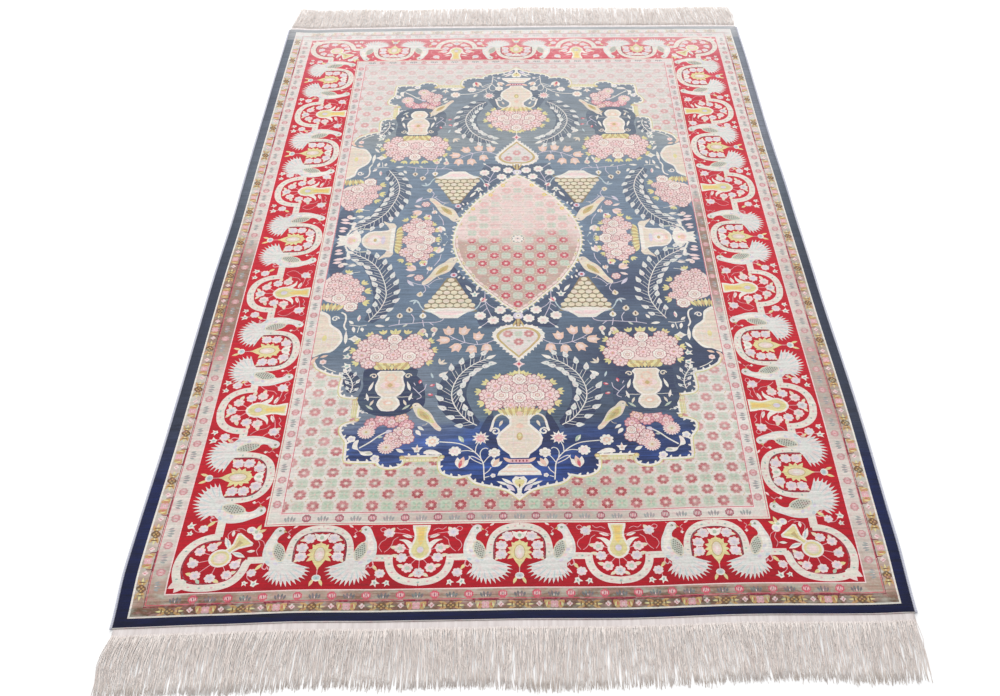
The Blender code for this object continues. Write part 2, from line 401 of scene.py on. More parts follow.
def meander(points, dots, smooth=True):
    """The cream winding band with its green and pink spots."""
    motif = [
        ("blush", ribbon(points, 10.6, None, 4, smooth)),
        ("bone", ribbon(points, 9.2, None, 4, smooth)),
    ]
    for k, (u, v) in enumerate(dots):
        motif.append(("teal" if k % 2 else "pink", oval(u, v, 1.9, 1.3, 0, 6)))
    return motif


ARCH = ((0, 7), (12, 8.2), (23.6, 12.6), (32.4, 21), (37, 32), (38.8, 44), (38.6, 60))
CUP = ((-91, 51), (-91, 60), (-93.4, 72), (-100.6, 84), (-113, 92), (-131, 95))
ARCH_TO_VASE = 131                   # along the border, from a bird arch to the next vase


def arch_band():
    """Winding band over one bird arch."""
    dots = [(6, 7.4), (16, 9.4), (26.6, 15.2), (34, 25), (38, 37), (38.8, 50)]
    return mirrored(meander(ARCH, dots))


def level_band(start, end):
    """The level stretch of the winding band between two units."""
    dots = [(start + share * (end - start), 56) for share in (0.62, 0.8)]
    return meander([(start, 56), (end, 56)], dots, False)


def cup_band():
    """Winding band under one vase."""
    path = [(u + ARCH_TO_VASE, v) for u, v in CUP]
    dots = [(40, 56), (39, 66), (34.6, 79), (25, 88), (12, 93.4), (0, 95)]
    return mirrored(meander(path, dots))


def border_vase():
    """Yellow vase with its flowers inside the cup of the winding band."""
    motif = []
    stems = (((0, 58), (0, 66), (0, 76)), ((3, 57), (9, 64), (13, 70)), ((9, 52), (15, 54), (20, 56)),
             ((12, 44), (18, 42), (24, 40)), ((8, 22), (22, 17), (34, 15), (41, 15)))
    for path in stems:
        motif += mirrored([("pink", ribbon(path, 0.9, 0.9, 3))])
    motif += mirrored([("butter", leaf_to(2, 79, 13, 86.4, 5, 0.6))])
    motif += moved(blossom(7, 7, "quartz", "sky", "dusty"), 0, 80)
    for u, v, tip_u, tip_v, rim in ((15.2, 72.4, 27, 67.4, "blush"), (23.4, 56, 34.6, 50.6, "quartz"),
                                    (26.6, 40.6, 37.8, 38, "blush"), (42.6, 15.4, 33.6, 6.6, "quartz")):
        side = [("butter", leaf_to(u, v, tip_u + 2, tip_v, 6, 0.6))]
        side += moved(blossom(7, 7, rim, "lilac" if rim == "quartz" else "mint", "sky"), u, v)
        motif += mirrored(side)
    motif += mirrored([("ivory", blob([(9, 36), (14, 29.6), (20.6, 26.4), (28.8, 26.8), (23, 29.6),
                                       (18, 35.6), (13.4, 43), (10.4, 46)], 3)),
                       ("ivory", leaf_to(11.4, 23.6, 24.4, 17.4, 5, 0.45, 0.12)),
                       ("pink", leaf_to(13, 22.6, 21.6, 18.4, 1.6))])
    outer = halves([(0, 3.2), (12, 3.2), (11.4, 9.4), (9, 17), (8.8, 24), (10.8, 31), (14.2, 39),
                    (14.6, 47), (11.4, 54.4), (5.4, 59.4), (0, 61)])
    inner = halves([(0, 5.4), (8.2, 5.4), (7.8, 10), (6.2, 17.6), (6.2, 25), (8.2, 32), (11.4, 40),
                    (11.6, 46.4), (8.8, 52.4), (4.2, 56.4), (0, 57.6)])
    motif += [
        ("ivory", outer), ("yellow", inner),
        ("amber", halves([(0, 7.6), (4.8, 7.6), (3.8, 16), (3.6, 30), (0, 36)])),
        ("citron", oval(0, 44.4, 6.6, 7.4, 0, 10)), ("lilac", oval(0, 43.4, 4.4, 5.2, 0, 10)),
        ("citron", halves([(0, 52), (5, 49.8), (3, 53.4), (0, 55.4)])),
    ]
    return motif


def wayside_flowers():
    """Flowers between a cup and the next bird's tail; u is measured from the vase."""
    motif = [
        ("pink", ribbon([(55, 92), (54, 86), (51, 80), (56, 74)], 0.9, 0.9, 3)),
        ("yellow", leaf_to(52.6, 78, 60.6, 67, 4.8, 0.65)),
    ]
    motif += moved(blossom(6.4, 7), 50, 80.4)
    motif += moved(lily(0.95), 56, 94, 14)
    motif += moved(lily(0.8), 40.4, 94.6, -20)
    return mirrored(motif)


def border_vines():
    """Thin pale tendrils on the red; u is measured from the vase."""
    runs = (((44, 20), (47, 26), (52, 30), (54.6, 38), (50, 46)),
            ((46, 10), (50, 6), (54.6, 8.6), (52, 13), (48.6, 11.6)),
            ((30, 22), (36, 27), (38, 35), (42, 42), (47, 46.6)),
            ((16, 12), (22, 8.6), (28, 10.4), (33, 6.4)),
            ((66, 3.6), (70.6, 6.8), (67.4, 10.8), (71.6, 14.6), (68, 18.6)))
    return mirrored([("pink", ribbon(path, 0.8, 0.8, 3)) for path in runs])


def arch_trifles():
    """Little diamonds, leaves and tendrils beside the crown of a bird arch."""
    motif = [
        ("ivory", star(43.6, 20.6, 2.6, 1.6, 4)), ("blush", leaf_to(33.6, 1.6, 40, 6, 3)),
        ("pink", ribbon([(42, 8), (45.6, 12), (42.6, 15.6), (45.4, 19)], 0.8, 0.8, 3)),
    ]
    return mirrored(motif)


def corner_piece():
    """Corner of the main border; u and v run from the border's outer corner to the field."""
    loop = [(96, 47), (92.6, 42), (90.6, 33), (84.6, 21.6), (75.6, 13.2), (62.6, 8.4), (48, 6.6),
            (33, 7.2), (20, 10.8), (12.2, 16.4), (8.8, 25), (6.8, 36), (7.2, 48), (10.4, 60.6),
            (17.2, 72.6), (27.4, 82), (40.6, 87.2), (53, 88)]
    motif = [("blush", leaf_to(20, 21, 1, 8, 12, 0.45)), ("blush", leaf_to(22, 20, 9, 1.4, 12, 0.45))]
    dots = [(88, 28), (70, 10.8), (55, 7.2), (40, 6.8), (26, 8.8), (9.8, 22), (6.8, 42), (13, 66.6),
            (22, 77.6), (34, 85.4)]
    motif += meander(loop, dots=dots)
    motif += [
        ("bone", leaf_to(21, 20, 3.6, 7.6, 9, 0.45)), ("bone", leaf_to(22, 19, 10.4, 3.6, 8, 0.45)),
    ]
    line = [(88, 52), (86.6, 42), (82, 31), (73, 20.6), (60, 14.6), (46, 12.8), (31, 14.4), (19.6, 21),
            (14, 33), (13.4, 46), (17, 59), (26, 71), (38, 79.6), (52, 82), (60, 81)]
    motif.append(("maroon", ribbon(line, 1.5, 1.5, 2)))
    heart = (58.4, 53)
    spots = ((45.6, 71.4, 56, 80), (31, 65, 34, 76), (25.6, 45.6, 20.4, 56.4), (31.4, 26.6, 19, 30.4),
             (50.6, 21.4, 63, 14.4), (71, 26, 82.6, 31.4), (79, 42, 85.6, 51.6))
    for k, (u, v, tip_u, tip_v) in enumerate(spots):
        motif += [
            ("pink",
             ribbon([heart, (0.5 * (heart[0] + u), 0.5 * (heart[1] + v)), (u, v)], 0.9, 0.9, 2)),
            ("yellow" if k in (3, 4) else "butter", leaf_to(u, v, tip_u, tip_v, 5.6, 0.6)),
        ]
        motif += moved(blossom(6.6, 7, "blush" if k % 2 else "quartz"), u, v)
    motif += [
        ("leaf", leaf_to(33, 22, 38.4, 13.4, 5, 0.6)),
        ("ivory", leaf_to(68, 66, 61.4, 88, 7.4, 0.5, 0.1)),
        ("ivory", leaf_to(71, 62, 90.6, 55.4, 7.4, 0.5, -0.1)),
        ("ivory", leaf_to(68.6, 88, 68.4, 98.6, 4.4)), ("ivory", leaf_to(90.6, 62.6, 101.6, 63.6, 4.4)),
        ("sky", leaf_to(67, 69, 62.4, 84, 2.6)), ("sky", leaf_to(74, 60.8, 88, 56.4, 2.6)),
        ("ivory", oval(*heart, 14.6, count=20)),
        ("ivory", np.array([(62.6, 66.6), (66.4, 70), (70.6, 76), (74, 93), (78, 94), (97, 76.4),
                            (96.4, 72), (80, 67.6), (72.6, 62.6), (69.4, 58.6)])),
        ("yellow", oval(*heart, 11.8, count=18)),
        ("yellow", np.array([(65.4, 65.6), (69, 69), (73, 75), (76, 90), (78, 91), (94, 76), (93, 74.6),
                             (79, 70.4), (72, 66), (68.6, 62)])),
        ("gold", np.array([(69, 65), (74, 70), (78, 82), (84, 77), (76, 69.6)])),
        ("cream", oval(*heart, 8.6, count=14)), ("blush", lobed(heart[0], heart[1], 5.4, 6, 0.25)),
        ("ivory", oval(90.8, 98, 5.8, 5.4)), ("ivory", oval(101.4, 87.4, 6, 6.6)),
        ("ivory", oval(98, 94, 6, 6)), ("yellow", leaf_to(99, 96, 102.6, 106.4, 5, 0.4)),
        ("yellow", leaf_to(101, 94, 110.6, 98, 5, 0.4)), ("lilac", lobed(91, 98, 3, 5)),
        ("lilac", lobed(101.4, 87.4, 3.2, 5)), ("leaf", oval(98, 94.4, 2.4, 2.4, 0, 8)),
    ]
    spray = [("yellow", leaf_to(30, 104, 42, 114, 5, 0.6))]
    spray += moved(blossom(5.8, 7), 28, 102)
    spray += moved(lily(0.95), 10.6, 107, -64) + moved(lily(0.7), 12.6, 95, 60)
    spray.append(("pink", ribbon([(14, 104), (20, 98), (26, 97)], 0.9, 0.9, 3)))
    motif += spray + [(yarn, np.asarray(line)[:, ::-1]) for yarn, line in spray]
    for path in (((64, 84), (62, 92), (68, 98), (76, 97)), ((84, 97), (78, 101), (72, 100)),
                 ((103, 80), (106, 72), (103, 64), (106, 56)), ((104.6, 82), (110, 78), (112.6, 70))):
        motif.append(("pink", ribbon(path, 0.8, 0.8, 3)))
    return motif


# ---- The field: the blue medallion and everything on it, drawn for its front left quarter -

MEDALLION = (
    (0, -564), (0, -564), (-12.8, -552), (-24, -546), (-38, -542), (-57, -537), (-66, -531),
    (-72, -522), (-72, -522), (-88, -525), (-104, -520), (-112, -510), (-113, -494),
    (-112, -486), (-112, -486), (-164, -486), (-164, -486), (-164, -496), (-170, -504),
    (-184, -507), (-196, -503), (-201, -496), (-201, -496), (-240, -495), (-246, -490),
    (-247, -474), (-248, -458), (-253, -450), (-258, -440), (-258, -430), (-252, -424),
    (-237, -419), (-237, -419), (-236, -373), (-236, -373), (-258, -371), (-267, -364),
    (-268, -346), (-266, -327), (-266, -327), (-283, -324), (-296, -317), (-308, -308),
    (-314, -296), (-326, -290),
)
MANDORLA = (
    (0, -187), (0, -187), (-9, -181), (-26, -165), (-36, -152), (-53, -133), (-70, -113),
    (-82, -92), (-95, -68), (-104, -42), (-109, -18), (-110.5, 0),
)
HEART = (
    (0, -222), (0, -222), (12, -221), (24, -224), (33, -231), (38, -241), (35, -252),
    (27, -263), (19, -274), (9, -285), (0, -296), (0, -296),
)


def run_along(path, spacing):
    """Points at even spacing along a path, each with its unit direction."""
    steps = np.hypot(*np.diff(path, axis=0).T)
    keep = np.concatenate([[True], steps > 1e-6])
    path = path[keep]
    far = np.concatenate([[0], np.cumsum(np.hypot(*np.diff(path, axis=0).T))])
    count = max(1, int(round(far[-1] / spacing)))
    at = (np.arange(count) + 0.5) * far[-1] / count
    x = np.interp(at, far, path[:, 0])
    y = np.interp(at, far, path[:, 1])
    k = np.clip(np.searchsorted(far, at) - 1, 0, len(path) - 2)
    run = np.diff(path, axis=0)[k]
    run /= np.hypot(run[:, 0], run[:, 1])[:, None]
    return np.stack([x, y], 1), run


def trace(yarn, points, width, steps=3, smooth=True, closed=False):
    """A long or curling line of yarn, as one short piece for each stretch of the path."""
    path = eased(points, closed, steps) if smooth else np.asarray(points, float)
    if closed:
        path = np.vstack([path, path[:1]])
    far = np.hypot(*np.diff(path, axis=0).T)
    path = path[np.concatenate([[True], far > 1e-6])]
    run = np.diff(path, axis=0)
    run /= np.hypot(run[:, 0], run[:, 1])[:, None]
    bend = np.vstack([run[:1], run[:-1] + run[1:], run[-1:]])
    if closed:
        bend[0] = bend[-1] = run[0] + run[-1]
    bend /= np.maximum(np.hypot(bend[:, 0], bend[:, 1]), 0.25)[:, None]
    side = np.stack([-bend[:, 1], bend[:, 0]], 1) * 0.5 * width
    left, right = path + side, path - side
    motif = []
    for k, forward in enumerate(run):
        ring = [right[k]]
        if (right[k + 1] - right[k]) @ forward > 0.02:
            ring.append(right[k + 1])
        ring.append(left[k + 1])
        if (left[k + 1] - left[k]) @ forward > 0.02:
            ring.append(left[k])
        motif.append((yarn, np.array(ring)))
    return motif


def teeth(yarn, path, spacing, length, width, side):
    """Small leaf points standing off a line; side is 1 for the left of its run, -1 right."""
    at, run = run_along(path, spacing)
    motif = []
    for (x, y), (dx, dy) in zip(at, run):
        aim = math.degrees(math.atan2(side * dx, -side * dy)) - side * 22
        motif.append((yarn, leaf(x, y, aim, length, width, 0.35, 0, 3)))
    return motif


def full_turn(quarter):
    """A closed outline from its front left quarter, which runs from the Y axis to the X axis."""
    q = np.asarray(quarter, float)
    back = (q * (1, -1))[::-1]
    left = np.vstack([q, back])
    right = (left * (-1, 1))[::-1]
    return np.vstack([left, right])


def with_twin(motif, across):
    """A motif and then its mirror image, across (-1, 1) left to right or (1, -1) front to back."""
    return motif + [(yarn, np.asarray(line) * across) for yarn, line in motif]


def carnation(r, petals=9, turn=0, body="petal"):
    """A full round flower: pale petals edged and parted with rose brown."""
    motif = [
        ("wine", lobed(0, 0, r, petals, 0.16, turn, 4)),
        (body, lobed(0, 0, r - 1.2, petals, 0.16, turn, 4)),
    ]
    for k in range(petals):
        a = turn + k * 360 / petals
        c, s = math.cos(math.radians(a)), math.sin(math.radians(a))
        motif.append(("wine", leaf(0.5 * r * c, 0.5 * r * s, a, 0.38 * r, 0.12 * r, 0.5, 0, 2)))
    motif += [
        ("wine", lobed(0, 0, 0.55 * r, 7, 0.22, turn, 3)),
        ("blush", lobed(0, 0, 0.55 * r - 0.8, 7, 0.22, turn, 3)),
        ("pink", lobed(0, 0, 0.28 * r, 6, 0.25, turn, 2)), ("gold", oval(0, 0, 0.11 * r, count=6)),
    ]
    return motif


def white_rose(r):
    """An ivory rose with a pale pink heart."""
    return [
        ("wine", lobed(0, 0, r, 8, 0.12, 0, 4)), ("ivory", lobed(0, 0, r - 1.1, 8, 0.12, 0, 4)),
        ("dusty", lobed(0, 0, 0.62 * r, 7, 0.18, 20, 3)),
        ("ivory", lobed(0, 0, 0.62 * r - 0.8, 7, 0.2, 20, 3)),
        ("dusty", lobed(0, 0, 0.36 * r, 6, 0.2, 0, 2)),
        ("cream", lobed(0, 0, 0.24 * r, 5, 0.25, 0, 2)),
    ]


def daisy(r):
    """A flat flower with many narrow petals and a cream heart."""
    petals = 18
    motif = [("petal", lobed(0, 0, r, petals, 0.2, 0, 3))]
    for k in range(petals):
        a = k * 360 / petals
        c, s = math.cos(math.radians(a)), math.sin(math.radians(a))
        motif.append(("rose", leaf(0.46 * r * c, 0.46 * r * s, a, 0.44 * r, 0.07 * r, 0.5, 0, 2)))
    motif += [("cream", lobed(0, 0, 0.42 * r, 8, 0.2, 0, 3)), ("gold", oval(0, 0, 0.16 * r, count=6))]
    return motif


def gold_leaves(x, y, aim, size=1):
    """A tuft of three gold leaves at the rim of a bunch."""
    motif = []
    for k, yarn in ((-1, "yellow"), (1, "yellow"), (0, "citron")):
        motif.append((yarn, leaf(x, y, aim + 34 * k, 11 * size, 4.6 * size)))
    motif.append(("yellow", leaf(x, y, aim, 7 * size, 1.8 * size, 0.5, 0, 3)))
    return motif


def fan(x, y, half, rise, points, turn=0, low=0):
    """The gold collar of a vase: pointed leaves fanned over its mouth."""
    motif = []
    for k in range(points):
        t = 2 * k / (points - 1) - 1
        foot = (0.62 * half * t, -low * (1 - t * t))
        tip = (half * t, rise * (1 - 0.3 * t * t))
        yarn = "gold" if k % 2 else "yellow"
        motif.append((yarn, leaf_to(*foot, *tip, 2.1 * half / points, 0.55, 0, 4)))
    return moved(motif, x, y, turn)


def curl(yarn, x, y, r, start, sweep, width=2.4):
    """A scroll: it winds in towards its eye from the start angle."""
    turns = np.radians(np.linspace(start, start + sweep, 12))
    radius = r * np.linspace(1, 0.28, 12)
    path = np.stack([x + radius * np.cos(turns), y + radius * np.sin(turns)], 1)
    return trace(yarn, path, width, smooth=False)


def plume(path, count, lengths=(19, 18), aim=40, shade=44):
    """A curved stem with drop leaves on long stalks to either side, over a darker shade."""
    spine = eased(path, False, 6)
    motif = []
    if shade:
        run = np.gradient(spine, axis=0)
        run /= np.hypot(run[:, 0], run[:, 1])[:, None]
        swell = np.sin(np.pi * np.linspace(0.06, 0.94, len(spine))) ** 0.6
        half = np.stack([-run[:, 1], run[:, 0]], 1) * (0.5 * shade * swell)[:, None]
        motif.append(("ink", np.concatenate([spine - half, (spine + half)[::-1]])))
    motif += trace("ivory", spine, 1.7, smooth=False)
    at, run = run_along(spine, 1)
    for k, share in enumerate(np.linspace(0.03, 0.93, count)):
        i = int(share * (len(at) - 1))
        x, y = at[i]
        heading = math.degrees(math.atan2(run[i, 1], run[i, 0]))
        grow = 0.74 + 0.26 * math.sin(math.pi * share)
        for side in (-1, 1):
            a = math.radians(heading + side * (aim + 6))
            stalk = lengths[0] * grow * (0.92 if k % 2 else 1.05)
            foot = (x + stalk * math.cos(a), y + stalk * math.sin(a))
            motif.append(("pearl", ribbon([(x, y), foot], 0.9, 0.9, 1, False)))
            turn = heading + side * (aim - 12)
            motif.append(("pearl", leaf(*foot, turn, lengths[1] * grow, 0.5 * lengths[1], 0.34)))
            c, s = math.cos(math.radians(turn)), math.sin(math.radians(turn))
            motif.append(("slate", oval(foot[0] + 4.8 * c, foot[1] + 4.8 * s, 0.9, count=5)))
            j = min(len(at) - 1, i + int(0.45 * len(at) / count))
            end = (at[j, 0] + 0.7 * stalk * math.cos(a), at[j, 1] + 0.7 * stalk * math.sin(a))
            motif.append(("pearl", ribbon([tuple(at[j]), end], 0.8, 0.8, 1, False)))
    heading = math.degrees(math.atan2(run[-1, 1], run[-1, 0]))
    motif.append(("ivory", leaf(*at[-1], heading, lengths[1], 7, 0.36)))
    return motif


def songbird(wing="citron"):
    """A perching bird, its head up and its tail at the foot; 82 mm from beak to tail."""
    body = blob([(-3, 40), (3, 43), (9, 40.6), (11, 34), (12.6, 24), (14, 12), (11, 2), (5, -8),
                 (2, -16), (-0.6, -34), (-6, -42), (-11, -37), (-9.6, -26), (-10, -12), (-11.4, 2),
                 (-10, 14), (-6, 24), (-5, 33)])
    motif = [
        ("cream", body), ("gold", np.array([(9, 39.4), (17, 35), (9.8, 34.6)])),
        (wing,
         blob([(4, 28), (10.6, 14), (8, 1), (1, -12), (-6, -20), (-7.4, -6), (-6.4, 9), (-2, 22)])),
        ("gold", blob([(3.4, 21), (7.6, 11), (4.6, 0), (-2, -10), (-4, 3), (-1.6, 14)])),
        ("olive", leaf(0.4, -4, 84, 15, 3.4)), ("salmon", leaf(-2.4, -16, 254, 18, 5)),
        ("slate", oval(4, 37, 1.5, count=6)),
        ("cream", ribbon([(4, -12), (9, -15), (15, -13)], 1, 1, 2)),
    ]
    return motif


def field_leaf(x, y, aim, size=1):
    """A salmon leaf of three points with a pale vein."""
    right = [(0, 18), (3.4, 12), (8.2, 13), (7, 7), (6, 2), (2.4, -1)]
    motif = [
        ("salmon", turned(halves(right), -90)),
        ("petal", turned(halves([(0, 13), (3.6, 8), (2, 2)]), -90)),
    ]
    return moved(motif, x, y, aim, size)


def bud(x, y, aim, size=1, body="cream", heart="pink"):
    """An egg-shaped bud with a split of a second colour."""
    motif = [(body, leaf(-4.4, 0, 0, 14.6, 11.4, 0.42)), (heart, leaf(-1.6, 0, 0, 9, 3.6, 0.5, 0, 3))]
    return moved(motif, x, y, aim, size)


def tulip(x, y, aim, size=1, body="pink", sepal="ivory"):
    """A three-pointed flower seen from the side, opening along the aim."""
    motif = []
    for k, yarn in ((-1, sepal), (1, sepal), (0, body)):
        motif.append((yarn, leaf(-5, 0, 30 * k, 15.6 if k else 17, 6.6, 0.52, -0.1 * k)))
    motif.append(("rose" if body == "pink" else "salmon", leaf(-3.6, 0, 0, 11, 3, 0.5, 0, 3)))
    return moved(motif, x, y, aim, size)


def stems(yarn, width, *paths):
    motif = []
    for path in paths:
        motif += trace(yarn, path, width, 4)
    return motif


def bunch(flowers, leaves, ground=()):
    """A bunch: tufts of leaves, its pale ground, then its flowers in painter's order."""
    motif = []
    for x, y, aim, size in leaves:
        motif += gold_leaves(x, y, aim, size)
    motif += [("petal", outline) for outline in ground]
    for kind, x, y, r, turn in flowers:
        flower = {"c": carnation, "w": white_rose, "d": daisy}[kind]
        motif += moved(flower(r), x, y, turn)
    return motif


def centre_bunch():
    """Bunch over the middle vase; its middle is 0, 0 and the vase hangs at -Y."""
    flowers = []
    for s in (-1, 1):
        flowers += [("c", s * 46, -6, 15.5, 10 * s), ("c", s * 36, 13, 15, 30 * s),
                    ("c", s * 38, -23, 14.5, 50 * s), ("c", s * 20, 24, 14, 15 * s),
                    ("w", s * 27, -6, 12.5, 0), ("c", s * 13, -26, 12.5, 20 * s),
                    ("w", s * 20, 8, 9.5, 30)]
    flowers += [("c", 0, 8, 14, 0), ("w", 0, -11, 11.5, 0), ("w", 0, 27, 12, 0)]
    leaves = [(s * x, y, 90 - s * (90 - aim), 1.1) for s in (-1, 1)
              for x, y, aim in ((30, 28, 58), (46, 18, 30), (56, 2, 0), (52, -20, -20), (42, -34, -40))]
    leaves += [(0, 34, 90, 1.3), (-10, 33, 112, 1), (10, 33, 68, 1)]
    return bunch(flowers, leaves, [oval(0, -2, 52, 28, 0, 24)])


def vase_body(outline, inner):
    return [("ivory", halves(outline)), ("cream", halves(inner))]


def middle_vase():
    """The tall vase on the middle line under its bunch, with its foot and the bud below."""
    outline = [(0, -404), (20, -404), (27, -409), (20, -413), (15, -420), (15, -428), (22, -436),
               (30, -445), (33.5, -455), (31, -467), (24, -477), (15, -485), (12.5, -492), (0, -492)]
    inner = [(0, -407), (17, -407), (12.4, -413), (11.6, -420), (11.6, -430), (18, -438), (26.6, -447),
             (29.6, -455), (27.4, -466), (21, -475), (12, -483), (9.4, -490), (0, -490)]
    motif = vase_body(outline, inner)
    for y in (-440, -448, -456, -464, -472):
        reach = 26 - 0.09 * (y + 455) ** 2 / 1.6
        motif.append(("blush", rect(-reach, y - 0.5, reach, y + 0.5)))
    for x in (-18, -9, 9, 18):
        tall = 20 - 0.45 * abs(x)
        motif.append(("sage", rect(x - 0.5, -456 - tall, x + 0.5, -456 + tall)))
    motif += [
        ("gold", oval(0, -452, 4.6, 7.6)), ("yellow", oval(0, -451, 2.6, 5, 0, 8)),
        ("salmon", lobed(0, -432, 5.4, 6, 0.3)),
    ]
    motif += fan(0, -412, 33, 20, 13, 0, 2)
    motif.append(("salmon", lobed(0, -408, 5, 7, 0.3)))
    for s in (-1, 1):
        motif += curl("ivory", s * 35, -442, 7.4, 90 - s * 90, s * 470, 2.8)
        motif += trace("ivory", [(s * 24, -408), (s * 33, -412), (s * 38, -422), (s * 40, -432),
                                 (s * 42.4, -441)], 3.6, 4)
        motif += trace("olive", [(s * 26, -409.6), (s * 33, -414), (s * 37, -423)], 1, 3)
        motif.append(("cream", leaf_to(s * 25, -421, s * 30, -433, 4.4, 0.4)))
    motif.append(("pink", rect(-14, -500.5, 14, -494)))
    for x in (-10, -5, 0, 5, 10):
        motif.append(("maroon", oval(x, -497.2, 1.2, 2.2, 0, 6)))
    motif += [
        ("salmon", blob([(-14, -494), (-23, -491), (-20, -497), (-14, -500)], 2)),
        ("salmon", blob([(14, -494), (23, -491), (20, -497), (14, -500)], 2)),
    ]
    plate = [(0, -503), (16, -503), (21, -509), (29, -516), (31, -523), (0, -523)]
    motif += [
        ("ivory", halves(plate)), ("salmon", halves([(0, -505), (14, -505), (18, -510), (0, -510)])),
        ("cream", halves([(0, -506), (10, -506), (12, -509), (0, -509)])),
        ("salmon", halves([(0, -515.4), (25, -515.4), (26, -517), (0, -517)])),
    ]
    for s in (-1, 1):
        motif += [
            ("ivory", leaf_to(s * 8, -540, s * 25, -528, 5.4)),
            ("lilac", leaf_to(s * 6, -551, s * 19, -538, 7)),
            ("ivory", leaf_to(s * 14, -541, s * 32, -533, 4.4)),
        ]
    motif += [
        ("ivory",
         halves([(0, -526), (6, -525), (10.6, -531), (9, -539), (3.6, -546), (2, -560), (0, -562)])),
        ("yellow", halves([(0, -530), (5.6, -531), (7.2, -535), (4, -541), (0, -544)])),
        ("navy", oval(0, -529, 1.2, count=6)), ("brown", halves([(0, -538), (1.4, -540), (0, -546)])),
    ]
    return motif


def corner_vase():
    """The vase of each quarter, under its own wide bunch."""
    x0 = -194
    flowers = []
    for s in (-1, 1):
        flowers += [("c", s * 48, -16, 16.5, 20 * s), ("c", s * 44, 6, 14, 0),
                    ("c", s * 37, -33, 13, 40), ("c", s * 31, 19, 13, 25 * s),
                    ("w", s * 25, -20, 12, 0), ("c", s * 19, 8, 12.5, 0)]
    flowers += [("w", 0, 19, 12.5, 0), ("c", 0, -15, 12.5, 0), ("w", 0, 2, 8, 0)]
    leaves = [(s * x, y, 90 - s * (90 - aim), 1.05) for s in (-1, 1)
              for x, y, aim in ((18, 30, 78), (36, 26, 50), (52, 12, 26), (58, -6, 4), (52, -30, -34))]
    leaves += [(0, 28, 90, 1.4)]
    motif = [("ink", blob([(-34, -44), (34, -44), (38, -64), (34, -84), (42, -104), (34, -132),
                           (12, -142), (-12, -142), (-34, -132), (-46, -110), (-40, -84), (-42, -62)]))]
    motif += fan(0, -42, 34, 16, 11, 0, 2)
    motif += bunch(flowers, leaves, [oval(0, -8, 54, 26, 0, 24)])
    outline = [(0, -50), (17, -50), (22, -56), (18.6, -62), (19.4, -70), (22.4, -80), (21.6, -90),
               (17, -99), (11, -104), (16, -112), (17.4, -120), (13, -128), (9, -132), (0, -133)]
    inner = [(0, -52), (15, -52), (18.4, -57), (15.4, -63), (16.2, -71), (19.2, -80), (18.4, -88),
             (14.4, -96), (8, -103), (0, -104)]
    motif += vase_body(outline, inner)
    motif.append(("cream", halves([(0, -107), (9, -107), (13, -114), (14, -120), (9, -126), (5, -130),
                                   (0, -130)])))
    motif += fan(0, -48, 28, 11, 9, 0, 1)
    motif += [
        ("salmon", lobed(0, -66, 10, 8, 0.2)), ("cream", lobed(0, -66, 6.4, 6, 0.2)),
        ("blush", oval(0, -80, 15, 8, 0, 14)), ("salmon", lobed(0, -80, 8.4, 8, 0.25)),
        ("gold", lobed(0, -80, 4, 4, 0.2, 45)), ("sage", oval(0, -94, 9, 3.6, 0, 10)),
        ("salmon", oval(0, -116, 8, 5, 0, 10)), ("ivory", oval(0, -116, 4.4, 2.8, 0, 8)),
    ]
    for s in (-1, 1):
        motif += curl("cream", s * 26, -61, 5.4, 90 - s * 90, s * 400, 2.2)
        motif += [
            ("ivory", leaf_to(s * 31, -92, s * 25, -72, 4.8, 0.4)),
            ("ivory", leaf_to(s * 30, -112, s * 34, -96, 4.4, 0.4)),
            ("leaf", leaf_to(s * 21, -130, s * 33, -120, 4)),
            ("cream", leaf_to(s * 22, -110, s * 27, -122, 4)),
        ]
        motif += trace("ivory", [(s * 12, -104), (s * 20, -104.6), (s * 29, -104), (s * 36, -108)], 1,
                       2)
    return moved(motif, x0, -267)


